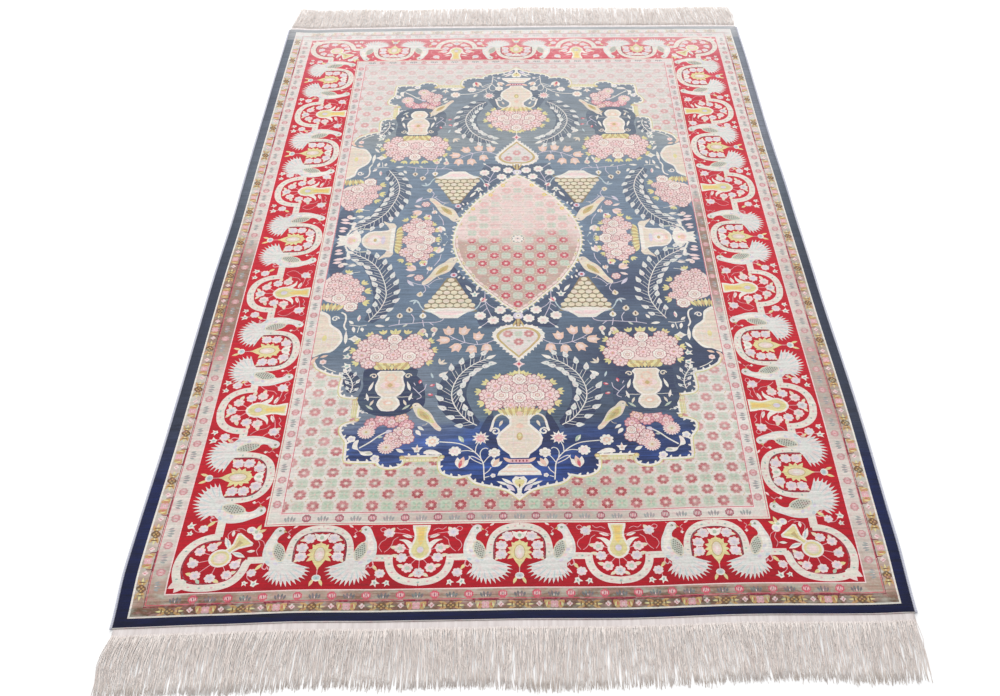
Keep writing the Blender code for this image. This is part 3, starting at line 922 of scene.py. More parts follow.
def side_vase():
    """The vase lying on the cross line, mouth inward, drawn upright from its foot at 0, 0."""
    motif = []
    for s in (-1, 1):
        motif += trace("ivory", [(s * 14, 16), (s * 24, 20), (s * 31, 24), (s * 36, 30)], 3, 3)
        motif += trace("sage", [(s * 12, 20), (s * 21, 24), (s * 28, 31), (s * 33, 41)], 2.2, 3)
        motif += [
            ("ivory", leaf_to(s * 30, 22, s * 51, 27, 6)), ("leaf", leaf_to(s * 32, 40, s * 30, 58, 4)),
            ("ivory", blob([(s * 8, 26), (s * 17, 25), (s * 29, 30), (s * 19, 37), (s * 8, 40)], 3)),
        ]
        motif += curl("cream", s * 38, 92, 7.6, 270, s * 330, 3)
        motif.append(("cream", blob([(s * 20, 92), (s * 30, 98), (s * 37, 100), (s * 46, 95),
                                     (s * 47, 86), (s * 53, 76), (s * 44, 80), (s * 38, 85)], 3)))
    motif += [
        ("ivory", halves([(0, 18), (12, 17), (16, 0), (9, 4), (4, 0), (0, 5)])),
        ("ivory", halves([(0, 42), (5, 42), (13, 36), (20, 26), (15, 16), (0, 14)])),
        ("blush", halves([(0, 36), (6, 34), (12, 26), (9, 19), (0, 17)])),
        ("salmon", oval(0, 24, 7, 4.4, 0, 10)), ("yellow", oval(0, 30, 4, 2.4, 0, 8)),
    ]
    outline = [(0, 43), (6, 43), (15, 47), (22, 53), (25, 62), (25, 74), (27, 85), (34, 96), (36, 99),
               (0, 99)]
    inner = [(0, 46), (5, 46), (13, 50), (19, 56), (21.6, 63), (21.6, 75), (23, 84), (28, 92), (0, 92)]
    motif += vase_body(outline, inner)
    motif += [
        ("blush", lobed(0, 66, 14, 8, 0.18)), ("ivory", lobed(0, 66, 9.4, 8, 0.2)),
        ("gold", oval(0, 66, 4.4, 3, 0, 8)), ("lilac", oval(0, 80, 12, 3.6, 0, 10)),
        ("salmon", oval(0, 52, 6, 2.6, 0, 8)),
    ]
    flowers = []
    for s in (-1, 1):
        flowers += [("c", s * 50, 134, 12.5, 0), ("c", s * 46, 153, 11, 20),
                    ("c", s * 34, 122, 13.5, 10), ("w", s * 40, 143, 11, 0),
                    ("c", s * 27, 158, 11.5, 0), ("w", s * 20, 148, 11, 0)]
    flowers += [("c", 0, 124, 13, 0), ("w", 0, 158, 14, 0), ("c", 0, 143, 9, 0)]
    right = ((24, 166, 70), (40, 161, 50), (56, 150, 20), (60, 130, -10), (52, 118, -40))
    leaves = [(s * x, y, 90 - s * (90 - aim), 1) for s in (-1, 1) for x, y, aim in right]
    leaves += [(0, 168, 90, 1.2)]
    motif += fan(0, 101, 38, 15, 15, 0, 2)
    motif += bunch(flowers, leaves, [oval(0, 142, 50, 22, 0, 24)])
    motif += fan(0, 101, 38, 12, 15, 0, 2)
    return motif


def wall_vase():
    """The half vase against the narrow border and its bunch, cut by the border's edge."""
    body = blob([(-322, -186), (-303, -189), (-299, -203), (-296, -213), (-283, -225), (-277, -238),
                 (-276, -251), (-283, -266), (-291, -275), (-303, -277), (-322, -279)], 3)
    motif = [
        ("ivory", body),
        ("cream", blob([(-322, -192), (-306, -194), (-302, -206), (-299, -216), (-286, -228),
                        (-280.6, -239), (-280, -250), (-286, -263), (-294, -271), (-322, -274)], 3)),
    ]
    for y in (-228, -238, -248, -258):
        motif.append(("blush", rect(-320, y, -284, y + 1.1)))
    for x in (-308, -300, -292):
        motif.append(("sage", rect(x, -264, x + 1, -222)))
    motif.append(("yellow", oval(-304, -243, 4, 7, 0, 8)))
    motif += curl("ivory", -292, -199, 6.2, 0, 430, 2.4)
    motif += trace("ivory", [(-284, -184), (-277, -190), (-275, -202), (-276.4, -216), (-272, -226)],
                   2.8, 4)
    motif += [
        ("ivory", leaf_to(-272, -226, -270, -258, 6, 0.6)),
        ("petal", blob([(-318, -104), (-300, -92), (-276, -98), (-258, -122), (-258, -156),
                        (-270, -178), (-292, -164), (-318, -150)])),
    ]
    for x, y, r, turn in ((-300, -96, 12, 0), (-285, -101, 12, 20), (-302, -116, 13, 10),
                          (-273, -112, 12, 0), (-282, -126, 13, 30), (-262, -128, 11, 0),
                          (-310, -136, 12, 0), (-268, -147, 13, 0)):
        motif += moved(carnation(r), x, y, turn)
    motif += gold_leaves(-258, -116, 40, 1.1) + gold_leaves(-252, -134, 10, 1.2)
    motif += gold_leaves(-253, -160, -15, 1.2) + gold_leaves(-284, -88, 80, 1)
    motif += moved(white_rose(12.5), -292, -150) + moved(white_rose(12.5), -271, -171)
    motif += moved(carnation(9), -256, -152)
    motif += fan(-308, -180, 26, 20, 9, 0, 1)
    for x, y, aim in ((-318, -292, 40), (-306, -286, 20), (-316, -300, 80)):
        motif.append(("salmon", leaf(x, y, aim, 13, 5)))
    motif += moved(blossom(5, 6, "blush", "salmon", "rose"), -300, -296)
    motif += trace("ivory", [(-300, -304), (-290, -312), (-278, -318)], 1.6, 2)
    return motif


def fruit_dish():
    """A dish heaped with round fruit."""
    apex, pitch, drop = (-111, -108), 12, 10.4
    left = [(apex[0] - 7, apex[1] + 6), (apex[0] - 45, apex[1] - 78), (apex[0] + 45, apex[1] - 78),
            (apex[0] + 7, apex[1] + 6)]
    motif = [("khaki", np.array(left))]
    for row in range(8):
        across = 7 - (row == 7) if row > 6 else row + 1
        for k in range(across):
            x = apex[0] + pitch * (k - 0.5 * (across - 1))
            yarn = ("butter", "butter", "butter", "cream")[(3 * row + 2 * k) % 4]
            motif.append((yarn, oval(x, apex[1] - drop * row, 5.7, 5, 0, 9)))
    bowl = [(0, -176), (42, -180), (30, -187), (22, -193), (14, -201), (0, -201)]
    motif += [
        ("ivory", halves(bowl) + (apex[0], 0)),
        ("blush", halves([(0, -184), (24, -186), (16, -192), (0, -194)]) + (apex[0], 0)),
    ]
    for s in (-1, 1):
        motif += trace("sky", [(apex[0] + s * 30, -187), (apex[0] + s * 40, -182),
                               (apex[0] + s * 47, -172), (apex[0] + s * 50, -163)], 2, 4)
    return motif


def leaf_spray():
    """The spray of salmon leaves between heart and dish."""
    motif = stems("lilac", 1.3,
                  [(-37, -251), (-48, -258), (-64, -262), (-84, -257), (-100, -248), (-109, -241)],
                  [(-84, -257), (-86, -248), (-88, -240)], [(-64, -262), (-66, -254)],
                  [(-84, -257), (-92, -260)], [(-66, -261), (-72, -266)], [(-48, -258), (-50, -262)],
                  [(-100, -248), (-106, -250)])
    for x, y, aim, size in ((-109, -239, 96, 1.15), (-88, -239, 78, 1.15), (-65, -251, 80, 1.1),
                            (-109, -251, 182, 1.15), (-93, -261, 236, 1.15), (-72, -265, 262, 1.1),
                            (-50, -262, 270, 1.1)):
        motif += field_leaf(x, y, aim, size)
    return motif


def blossom_spray():
    """White blossoms round the foot of the mandorla."""
    motif = stems("lilac", 1.2, [(-54, -136), (-54, -160), (-50, -178), (-43, -198)],
                  [(-54, -160), (-46, -172), (-36, -180)], [(-50, -178), (-58, -188)],
                  [(-54, -168), (-62, -176)], [(-43, -198), (-50, -212), (-58, -220)])
    for x, y in ((-61, -196), (-40, -207), (-29, -183), (-17, -203)):
        motif += moved(blossom(8.8, 8, "ivory", "blush", "salmon"), x, y)
    motif += tulip(-58, -160, 60, 0.8)
    motif += moved(lily(1.25), -71, -145)
    motif += [
        ("ivory", leaf_to(-76, -138, -85, -120, 5.6, 0.5, 0.1)),
        ("ivory", leaf_to(-68, -136, -66, -120, 4.6)), ("ivory", leaf_to(-58, -220, -64, -226, 4)),
    ]
    for x, y, aim in ((-100, -90, 80), (-91, -106, 80), (-100, -104, 60), (-87, -92, 40),
                      (-96, -76, 70)):
        motif.append(("ivory", leaf(x, y, aim, 8, 3.6, 0.4)))
    motif += moved(blossom(5.6, 7, "lilac", "rose", "brown"), -107, -95)
    motif += moved(blossom(7.6, 9, "lilac", "ivory", "brown"), 0, -197)
    return motif


def bud_branch():
    """Branch of cream buds between dish and bunch."""
    motif = stems("lilac", 1.3, [(-206, -218), (-190, -214), (-170, -212), (-150, -210), (-132, -210),
                                 (-122, -206), (-120, -200), (-126, -198)],
                  [(-168, -212), (-167, -200), (-172, -190)], [(-152, -210), (-153, -204)],
                  [(-152, -211), (-150, -220)], [(-142, -210), (-135, -217)],
                  [(-190, -214), (-190, -203)])
    motif += bud(-175, -183, 100, 1, "cream", "brown") + bud(-153, -197, 90, 1, "ivory", "gold")
    motif += bud(-151, -228, 262, 1, "cream", "pink") + bud(-134, -225, 284, 1, "cream", "pink")
    motif += bud(-190, -196, 90, 0.9, "cream", "brown")
    motif += [
        ("ivory", leaf_to(-147, -232, -143, -245, 4.6)),
        ("ivory", leaf_to(-132, -232, -136, -244, 4.6)), ("leaf", leaf_to(-176, -213, -184, -220, 4)),
    ]
    return motif


def rose_branch():
    """Branch of pink buds beside the bird near the mandorla."""
    motif = stems("lilac", 1.2, [(-146, -126), (-152, -120), (-164, -118), (-176, -112), (-184, -106)],
                  [(-156, -119), (-152, -132), (-158, -142)],
                  [(-150, -122), (-138, -108), (-128, -104)], [(-152, -92), (-150, -80), (-152, -72)],
                  [(-131, -40), (-133, -54), (-141, -70)])
    motif += tulip(-176, -78, 150, 1.15, "salmon", "blush")
    motif += [("lilac", leaf_to(-164, -72, -153, -55, 9)), ("petal", leaf_to(-172, -92, -186, -98, 6))]
    motif += tulip(-158, -66, 120, 0.95)
    motif += moved(carnation(8.6, 6), -165, -101, 20)
    motif.append(("lilac", leaf_to(-184, -108, -172, -122, 6)))
    motif += bud(-161, -145, 80, 0.95, "cream", "gold")
    for aim in (200, 250, 300):
        motif.append(("sky", leaf(-166, -156, aim, 12, 3.6)))
    motif += tulip(-136, -32, 80, 1.15, "blush", "ivory")
    motif += tulip(-148, -80, 100, 0.7, "salmon", "ivory")
    for x, y in ((-137, -12), (-127, -15), (-113, -33)):
        motif.append(("ivory", oval(x, y, 2.2, 2.6, 0, 8)))
        motif += trace("sky", [(x, y), (x + 3, y + 4), (x + 5, y + 10)], 0.9, 2)
    return motif


def foot_flowers():
    """Flowers beside the blue corner: two daisies, a pink cluster and scrolling leaves."""
    motif = []
    for x, y, r, turn in ((-214, -424, 12, 0), (-200, -416, 12, 0), (-186, -421, 12, 30),
                          (-172, -414, 11, 0), (-164, -428, 12, 0)):
        motif += moved(carnation(r, 9, 0, "pink" if r > 11 else "salmon"), x, y, turn)
    motif += moved(daisy(13.2), -221, -440)
    motif += stems("ivory", 2.2, [(-192, -440), (-203, -448), (-214, -459), (-228, -470)])
    motif += [
        ("ivory", blob([(-229, -474), (-238, -470), (-236, -458), (-230, -455), (-231, -466),
                        (-226, -476), (-212, -476), (-208, -482), (-216, -484), (-224, -482)], 3)),
        ("leaf", leaf_to(-219, -480, -208, -479, 4.6)), ("lilac", leaf_to(-194, -442, -184, -437, 7.6)),
        ("leaf", leaf_to(-205, -450, -196, -449, 4)),
    ]
    for x, y, r, turn in ((-172, -441, 12.5, 10), (-184, -452, 12, 0), (-162, -452, 12, 30),
                          (-176, -462, 9, 0)):
        motif += moved(carnation(r), x, y, turn)
    motif += moved(white_rose(8.5), -162, -441) + moved(daisy(12.6), -190, -469)
    motif += moved(blossom(6, 5, "ivory", "lilac", "sky"), -241, -453)
    motif += moved(blossom(6, 5, "ivory", "lilac", "sky"), -204, -489)
    motif += [
        ("ivory", leaf_to(-176, -472, -164, -479, 6)),
        ("ivory", leaf_to(-150, -437, -142, -448, 6.4, 0.4)),
        ("ivory", leaf_to(-148, -430, -138, -438, 5.4, 0.4)),
    ]
    motif += moved(lily(1.2), -146, -474, 0)
    motif += [
        ("salmon", leaf_to(-146, -478, -146, -466, 2.4)),
        ("ivory", blob([(-136, -482), (-132, -475), (-122, -475), (-114, -480), (-110, -484)], 2)),
    ]
    return motif


def ground_flowers():
    """Flowers on the dark ground either side of the middle vase, on their white stem."""
    motif = stems("ivory", 1.7, [(-49, -531), (-50, -516), (-51, -503), (-55, -492), (-63, -481),
                                 (-75, -470), (-90, -463), (-115, -460)])
    motif += stems("ivory", 1.3, [(-63, -481), (-62, -470), (-58, -461)],
                   [(-51, -500), (-46, -492), (-42, -487)], [(-64, -480), (-74, -477), (-84, -478)],
                   [(-54, -496), (-64, -489), (-70, -488), (-72, -494), (-76, -499)],
                   [(-55, -492), (-56, -482), (-53, -475), (-48, -473), (-45, -475)],
                   [(-49, -520), (-43, -514), (-40, -508)], [(-48, -526), (-42, -524)],
                   [(-53, -502), (-66, -494), (-72, -487)])
    for x, y, r, n, heart in ((-125, -459, 10.4, 8, "salmon"), (-36, -482, 9, 6, "cream"),
                              (-92, -478, 9.2, 8, "blush")):
        motif += moved([("ivory", lobed(0, 0, r, n, 0.22)), (heart, lobed(0, 0, 0.56 * r, 6, 0.3)),
                        ("ivory", lobed(0, 0, 0.26 * r, 5, 0.3))], x, y)
    motif += [
        ("ivory", star(-56, -454, 13, 7.6, 10)), ("pink", star(-56, -455, 9, 5, 10)),
        ("salmon", oval(-56, -455, 3.4, 2.6, 0, 8)),
    ]
    motif += tulip(-83, -503, 75, 1.3, "salmon", "ivory")
    motif += tulip(-35, -503, 60, 1.05, "salmon", "ivory")
    motif.append(("rose", leaf_to(-85, -509, -82, -494, 5)))
    motif += moved(blossom(3.4, 5, "ivory", "lilac", "sky"), -37, -523)
    motif += [("leaf", leaf_to(-80, -462, -88, -449, 7)), ("ivory", leaf_to(-83, -461, -88, -450, 2))]
    return motif


def trailing_leaves():
    """Leafy runs that fill the ground beside the corner vase and above the half vase."""
    motif = []
    motif += plume([(-252, -362), (-250, -348), (-254, -334), (-262, -320)], 4, (8, 11), 46, 26)
    motif += plume([(-222, -404), (-228, -394), (-226, -382), (-219, -372)], 3, (6, 9), 46, 0)
    motif += stems("lilac", 1.2, [(-160, -352), (-152, -362), (-146, -372), (-156, -378)],
                   [(-150, -364), (-142, -356), (-140, -346)], [(-160, -340), (-156, -348)])
    for x, y, aim in ((-146, -342, 80), (-131, -347, 20), (-161, -353, 150), (-133, -364, 350)):
        motif += [("rose", leaf(x - 4, y - 3, aim, 9, 5.4)), ("blush", leaf(x - 3, y - 2, aim, 5, 2.4))]
    motif += moved([("ivory", star(0, 0, 10.6, 6.4, 4, 0, 0.74))], -257, -246)
    motif.append(("cream", lobed(-257, -246, 4, 5, 0.3)))
    motif += stems("ivory", 1.2, [(-241, -215), (-252, -217), (-268, -214)],
                   [(-252, -217), (-254, -232)])
    for x, y, tx, ty in ((-262, -218, -259, -232), (-248, -220, -246, -230), (-228, -216, -212, -218),
                         (-212, -206, -206, -196), (-255, -206, -254, -190), (-262, -212, -270, -204)):
        motif.append(("ivory", leaf_to(x, y, tx, ty, 5.6, 0.45)))
    motif.append(("pink", leaf_to(-255, -204, -252, -193, 2.6)))
    for x, y, aim in ((-272, -66, 190), (-286, -64, 170), (-260, -46, 210), (-274, -86, 200)):
        motif.append(("ivory", leaf(x, y, aim, 15, 6.4, 0.4)))
        motif += trace("ivory", [(x, y), (x + 10, y + 2)], 1, 1)
    motif += moved(blossom(4.6, 6, "blush", "cream", "rose"), -298, -67)
    for y, long in ((-28, 7), (-36, 10), (-52, 14), (-60, 10)):
        motif.append(("blush", leaf(-313, y, 10, long + 6, 7)))
    motif += moved(lily(1.1), -264, -286, 60) + moved(lily(1.2), -262, -306, 100)
    motif += [
        ("ivory", leaf_to(-272, -276, -262, -262, 5)),
        ("ivory", blob([(-122, -327), (-116, -322), (-104, -320), (-110, -326), (-118, -332)], 2)),
    ]
    for aim in (10, 50, 90):
        motif.append(("cream", leaf(-122, -304, aim, 13, 4)))
    motif.append(("sky", leaf_to(-134, -322, -130, -334, 3.4)))
    return motif


def bead_edge(path, spacing, size, inset):
    """Scallops inside a closed outline."""
    yarns = ("butter", "petal", "petal")
    at, run = run_along(path, spacing)
    motif = []
    for k, ((x, y), (dx, dy)) in enumerate(zip(at, run)):
        turn = math.degrees(math.atan2(dy, dx))
        x, y = x + dy * inset, y - dx * inset
        motif.append((yarns[k % len(yarns)], oval(x, y, size[0], size[1], turn, 10)))
        if k % len(yarns) == 0:
            motif.append(("gold", oval(x, y, 0.5 * size[0], 0.5 * size[1], turn, 6)))
    return motif


def heart_figure():
    """The heart between mandorla and middle bunch."""
    full = halves(eased(HEART, False, 3))
    motif = [("ivory", full * 1.08 + (0, 255 * 0.08))]
    motif += trace("ivory", full, 4.2, smooth=False, closed=True)
    motif += teeth("ivory", np.vstack([full, full[:1]]), 8, 5.6, 4.4, 1)
    motif += [("gold", full * 0.92 + (0, -255 * 0.08)), ("sage", full * 0.8 + (0, -254 * 0.2))]
    motif += moved(diaper_rosette(), -16.5, -239, 0, 0.95) + moved(diaper_rosette(), 16.5, -239, 0, 0.95)
    motif += moved(diaper_rosette(), 0, -257, 0, 0.95) + moved(diaper_leaves(), 0, -239, 0, 0.8)
    for s in (-1, 1):
        motif += [
            ("gold", leaf_to(s * 2, -204, s * 9, -224, 3.6, 0.6)),
            ("leaf", oval(s * 16, -255, 3, 2.4, 0, 6)),
        ]
    motif += [
        ("brown", np.array([(-3.2, -222), (3.2, -222), (3.8, -204), (-3.8, -204)])),
        ("gold", np.array([(-1.8, -222), (1.8, -222), (2.4, -204), (-2.4, -204)])),
        ("blush", lobed(0, -276, 4, 5, 0.3)), ("blush", star(0, -306, 9.6, 5, 4)),
        ("rose", star(0, -306, 4.4, 2, 4)), ("ivory", rect(-0.7, -330, 0.7, -314)),
    ]
    return motif


def diaper(inside, across, rows, origin, drop, first=0, body="madder"):
    """Rows of red flowers with leafy squares between, wherever inside(x, y, r) allows."""
    pitch = 39.9
    motif = []
    for j in range(first, first + rows):
        y = origin + drop * (j - first)
        for i in range(-across, across + 1):
            x = pitch * (i + 0.5 * (j % 2))
            if inside(x + 0.5 * pitch, y, 9):
                motif += moved(diaper_leaves(), x + 0.5 * pitch, y)
            for side in (-1, 1):
                if inside(x + 0.25 * side * pitch, y + 0.5 * drop, 4):
                    motif += moved(diaper_spray(), x + 0.25 * side * pitch, y + 0.5 * drop, 30 * side)
            if inside(x, y, 9):
                motif += moved(diaper_rosette(body), x, y)
    return motif


def winding(outline, x, y):
    """True where the point is inside the outline (even and odd crossings)."""
    ax, ay = outline[:, 0], outline[:, 1]
    bx, by = np.roll(ax, -1), np.roll(ay, -1)
    cross = (ay > y) != (by > y)
    if not cross.any():
        return False
    at = ax[cross] + (y - ay[cross]) * (bx[cross] - ax[cross]) / (by[cross] - ay[cross])
    return bool(np.count_nonzero(at > x) % 2)


def within(outline, x, y, r):
    """True if all of a small round motif at the point is inside the outline."""
    return all(winding(outline, x + r * c, y + r * s)
               for c, s in ((0, 0), (1, 0), (0, 1), (-1, 0), (0, -1)))


def shades():
    """Darker patches of the blue, where a darker batch of the dye was used."""
    foot = [(-114, -66), (-92, -98), (-70, -124), (-44, -154), (-22, -178), (-4, -196), (-4, -216),
            (-30, -222), (-56, -224), (-66, -206), (-64, -184), (-78, -160), (-92, -132), (-110, -100)]
    edge = [(-316, -10), (-300, -16), (-292, -44), (-290, -72), (-300, -88), (-316, -86)]
    hollow = [(-166, -322), (-150, -334), (-142, -356), (-140, -384), (-148, -398), (-160, -384),
              (-162, -352)]
    under = [(-58, -428), (-76, -432), (-96, -422), (-112, -404), (-118, -386), (-108, -388),
             (-96, -400), (-80, -412)]
    beside = [(-40, -404), (-52, -424), (-58, -446), (-46, -470), (-30, -480), (-36, -440)]
    return [("ink", blob(line)) for line in (foot, edge, beside, hollow, under)]


def rungs(left, low, right, high, count):
    """A pale stepped strip beside the medallion, with yellow rungs across it."""
    box = rect(left, low, right, high)
    inner = rect(left + 1, low + 1, right - 1, high - 1)
    motif = [("citron", box), ("butter", inner)]
    for k in range(count):
        x = left + (k + 0.5) * (right - left) / count
        motif.append(("citron", rect(x - 0.7, low, x + 0.7, high)))
    return motif


def field_motifs():
    scallops = eased(MEDALLION, False, 3)
    medallion = full_turn(scallops)
    mandorla = full_turn(eased(MANDORLA, False, 3)[:-1])

    def bare(x, y, r):
        return abs(x) < 322 and not within(medallion, x, y, r)

    def panel(x, y, r):
        return within(mandorla, x, y, r + 6)

    motif = diaper(bare, 8, 18, -571.5, 19.1)
    motif += diaper(bare, 8, 17, 567.8, -19.6)
    motif += trace("citron", medallion, 6.8, smooth=False, closed=True)
    motif.append(("blue", medallion))
    motif += trace("ivory", medallion, 3.4, smooth=False, closed=True)
    quarter = teeth("ivory", scallops[:-8], 13, 6.4, 4, -1)
    for x, y in ((-110, -488), (-166, -488), (-237, -416), (-238, -374)):
        quarter += moved([("gold", oval(0, 0, 4, 3.6)), ("yellow", oval(0, 0, 2.4, 2.2, 0, 8))], x, y)
    quarter += rungs(-164, -496, -112, -490, 9)
    quarter += rungs(-246.4, -412, -240.4, -377, 1)
    for part in (shades, ground_flowers, foot_flowers, trailing_leaves, wall_vase, bud_branch,
                 rose_branch, leaf_spray):
        quarter += part()
    quarter += plume([(-62, -430), (-76, -420), (-88, -405), (-98, -385), (-101, -366), (-98, -347),
                      (-88, -325), (-70, -306), (-50, -294)], 10)
    quarter += plume([(-239, -207), (-223, -178), (-216, -150), (-218, -126), (-225, -100), (-237, -73),
                      (-257, -51), (-280, -36)], 11)
    quarter += blossom_spray() + fruit_dish() + corner_vase()
    quarter += moved(songbird("butter"), -131, -86, -30, 1)
    middle = moved(centre_bunch(), 0, -365) + middle_vase() + heart_figure()
    whole = mirrored(quarter) + middle
    motif += with_twin(whole, (1, -1))
    near_bird = moved(songbird(), -136, -413, 30, 0.8, True)
    far_bird = moved(songbird("butter"), -150, 412, 150, 0.8)
    motif += mirrored(near_bird) + mirrored(far_bird)
    motif += with_twin(moved(side_vase(), -313, 0, -90), (-1, 1))
    motif += trace("citron", mandorla, 5.6, smooth=False, closed=True)
    motif += teeth("ivory", np.vstack([mandorla, mandorla[:1]]), 12, 8, 4.6, 1)
    motif.append(("shell", mandorla))
    motif += trace("ivory", mandorla, 2.6, smooth=False, closed=True)
    motif += bead_edge(np.vstack([mandorla, mandorla[:1]]), 12.5, (6, 2.4), 4.4)
    motif += diaper(panel, 4, 17, -169, 20.6, 0, "crimson")
    for x, y in ((26.4, 156), (49, 127), (80, 86)):
        motif += mirrored([("amber", oval(x, y, 4.2, 5, 0, 8)), ("butter", oval(x, y, 1.6, 2, 0, 6))])
    motif += [
        ("cream", lobed(0, 0, 14, 12, 0.12)), ("slate", lobed(0, 0, 11.4, 12, 0.2)),
        ("ivory", lobed(0, 0, 10.4, 8, 0.25)), ("petal", lobed(0, 0, 6, 6, 0.3)),
        ("slate", oval(0, 0, 1.8, count=6)),
    ]
    return motif


# ---- The borders, laid out on the rug ----------------------------------------------------

FIELD_X, FIELD_Y = 318, 581          # the field's half sizes
INNER_X, INNER_Y = 337.2, 599        # outer edge of the inner guard
RED_X, RED_Y = 445.2, 703.4          # outer edge of the red border
RUG_X, RUG_Y = 500, 750
UNIT_DEPTH = 104                     # how far outward the main border's units are drawn
BAND_SPACING = 20                    # between the points along a band

# The concentric bands, outermost first: half sizes and the yarn inside them.
BANDS = (
    (505, 749.2, "navy"),
    (485.2, 737, "ivory"),
    (482.9, 734.6, "tan"),
    (469.2, 722.4, "maroon"),
    (468.2, 721.2, "tan"),
    (467.4, 720, "rose"),
    (466.3, 718.8, "tan"),
    (446.8, 705, "blush"),
    (445.2, 703.4, "red"),
    (338.6, 600.6, "bone"),
    (336.9, 598.6, "rose"),
    (336, 597.6, "bone"),
    (333.8, 595.2, "sage"),
    (320.6, 583.4, "blush"),
    (319.2, 582.2, "rose"),
    (318.2, 581.2, "sage"),
)


def to_side(motif, side, along, u_scale=1):
    """Border motif (u along, v outward from the red border's inner edge) set on a side."""
    room = RED_Y - INNER_Y if side in ("front", "back") else RED_X - INNER_X
    v_scale = room / UNIT_DEPTH
    placed = []
    for yarn, line in motif:
        u = np.asarray(line)[:, 0] * u_scale + along
        v = np.asarray(line)[:, 1] * v_scale
        if side == "front":
            xy = np.stack([u, -INNER_Y - v], 1)
        elif side == "back":
            xy = np.stack([u, INNER_Y + v], 1)
        elif side == "left":
            xy = np.stack([-INNER_X - v, u], 1)
        else:
            xy = np.stack([INNER_X + v, u], 1)
        placed.append((yarn, xy))
    return placed


def bird_unit():
    return arch_band() + arch_flowers() + arch_trifles() + mirrored(peacock())


def vase_unit():
    return cup_band() + border_vase() + wayside_flowers() + border_vines()


# Middles of the bird arches and of the vases between them, along each side.
BIRDS = {"front": (-260, 0, 260), "back": (-264, 0, 264),
         "left": (-518, -268, 7, 265.5, 526), "right": (-524, -270.5, 0.5, 270.5, 526)}
VASES = {"front": (-130, 130), "back": (-130, 131),
         "left": (-392, -133, 147, 395), "right": (-398, -134.5, 144.5, 392)}
ARCH_REACH, CUP_REACH = 50, 40       # where the level stretches start and end


def red_side(side):
    """One side of the main border: level stretches first, then vases, then birds."""
    corner, scale = (351.6, 0.992) if side in ("front", "back") else (615.4, 1.02)
    motif = []
    stops = [(-corner, 0)]
    for bird, vase in zip(BIRDS[side], VASES[side] + (None,)):
        stops.append((bird, ARCH_REACH))
        if vase is not None:
            stops.append((vase, CUP_REACH))
    stops.append((corner, 0))
    for (a, reach_a), (b, reach_b) in zip(stops, stops[1:]):
        motif += to_side(level_band(a + reach_a, b - reach_b), side, 0)
    vase, bird = vase_unit(), bird_unit()
    for along in VASES[side]:
        motif += to_side(vase, side, along, scale)
    for along in BIRDS[side]:
        motif += to_side(bird, side, along, scale)
    return motif


def corners():
    """The four corner pieces."""
    motif = []
    for away in (-1, 1):
        for hand in (-1, 1):
            for yarn, line in corner_piece():
                x = hand * (RED_X - np.asarray(line)[:, 0])
                y = away * (RED_Y - np.asarray(line)[:, 1])
                motif.append((yarn, np.stack([x, y], 1)))
    return motif


def row_on(side, x, y, pitch, figures, reach):
    """Figures in turn along one side of a narrow border, even about its middle."""
    turn = {"front": 0, "back": 180, "left": -90, "right": 90}[side]
    count = int(reach / (0.5 * pitch))
    motif = []
    for k in range(-count, count + 1):
        along = 0.5 * pitch * k
        spot = {"front": (along, -y), "back": (along, y), "left": (-x, along), "right": (x, along)}
        motif += moved(figures[abs(k) % 2], *spot[side], turn)
    return motif


# Rows of small figures in the inner guard, the outer guard and the minor border: the row's
# half sizes, then its pitch and reach on the ends and on the long sides.
ROWS = (
    (327.4, 590, (43.8, 316), (42, 575)),
    (456.8, 712.6, (43.2, 450), (43.2, 700)),
    (476.2, 728.6, (87.2, 468), (86.8, 716)),
)


def border_motifs():
    """Everything outside the field, in painter's order."""
    motif = [(yarn, densified((-x, -y, x, y), BAND_SPACING)) for x, y, yarn in BANDS]
    minors = [gold_palmette(), pink_figure()]
    for side in ("left", "right", "front", "back"):
        ends = side in ("front", "back")
        inner = [guard_leaves("ash"), guard_rosette("wine" if side == "front" else "dusty", "rose")]
        guards = [guard_leaves("smoke" if side == "front" else "ash"),
                  guard_rosette("rose" if ends else "dusty", "maroon" if ends else "rose")]
        for (x, y, on_end, on_side), figures in zip(ROWS, (inner, guards, minors)):
            pitch, reach = on_end if ends else on_side
            motif += row_on(side, x, y, pitch, figures, reach)
        motif += red_side(side)
    return motif + corners()


# ---- The cloth: how the drawing lies on the rug ------------------------------------------

# How far each edge strays outward: (share along the edge, metres). The long sides run from
# front to back and the ends from left to right, as in the CAD part.
LEFT_EDGE = ((0.00, 0.0005), (0.06, 0.0050), (0.22, 0.0025), (0.42, 0.0035), (0.55, 0.0008),
             (0.70, 0.0015), (0.88, 0.0015), (1.00, 0.0005))
RIGHT_EDGE = ((0.00, 0.0005), (0.08, 0.0042), (0.22, 0.0062), (0.42, 0.0022), (0.58, 0.0005),
              (0.72, -0.0020), (0.90, -0.0010), (1.00, -0.0025))
FRONT_EDGE = ((0.00, -0.0010), (0.12, -0.0030), (0.22, -0.0048), (0.34, -0.0030),
              (0.48, -0.0026), (0.64, 0.0), (0.78, -0.0022), (0.95, 0.0006), (1.00, -0.0006))
BACK_EDGE = ((0.00, -0.0005), (0.05, -0.0055), (0.14, -0.0020), (0.35, 0.0010),
             (0.60, 0.0018), (0.85, 0.0008), (1.00, -0.0005))

# How far the weaver's rows lie towards the back of where an even count would put them:
# (share along the length, metres).
ROW_DRIFT = ((0.00, 0.0), (0.031, 0.0), (0.099, -0.0030), (0.127, 0.0), (0.627, 0.0),
             (0.753, 0.0100), (0.890, 0.0100), (0.902, 0.0085), (0.969, -0.0020),
             (0.990, 0.0), (1.00, 0.0))


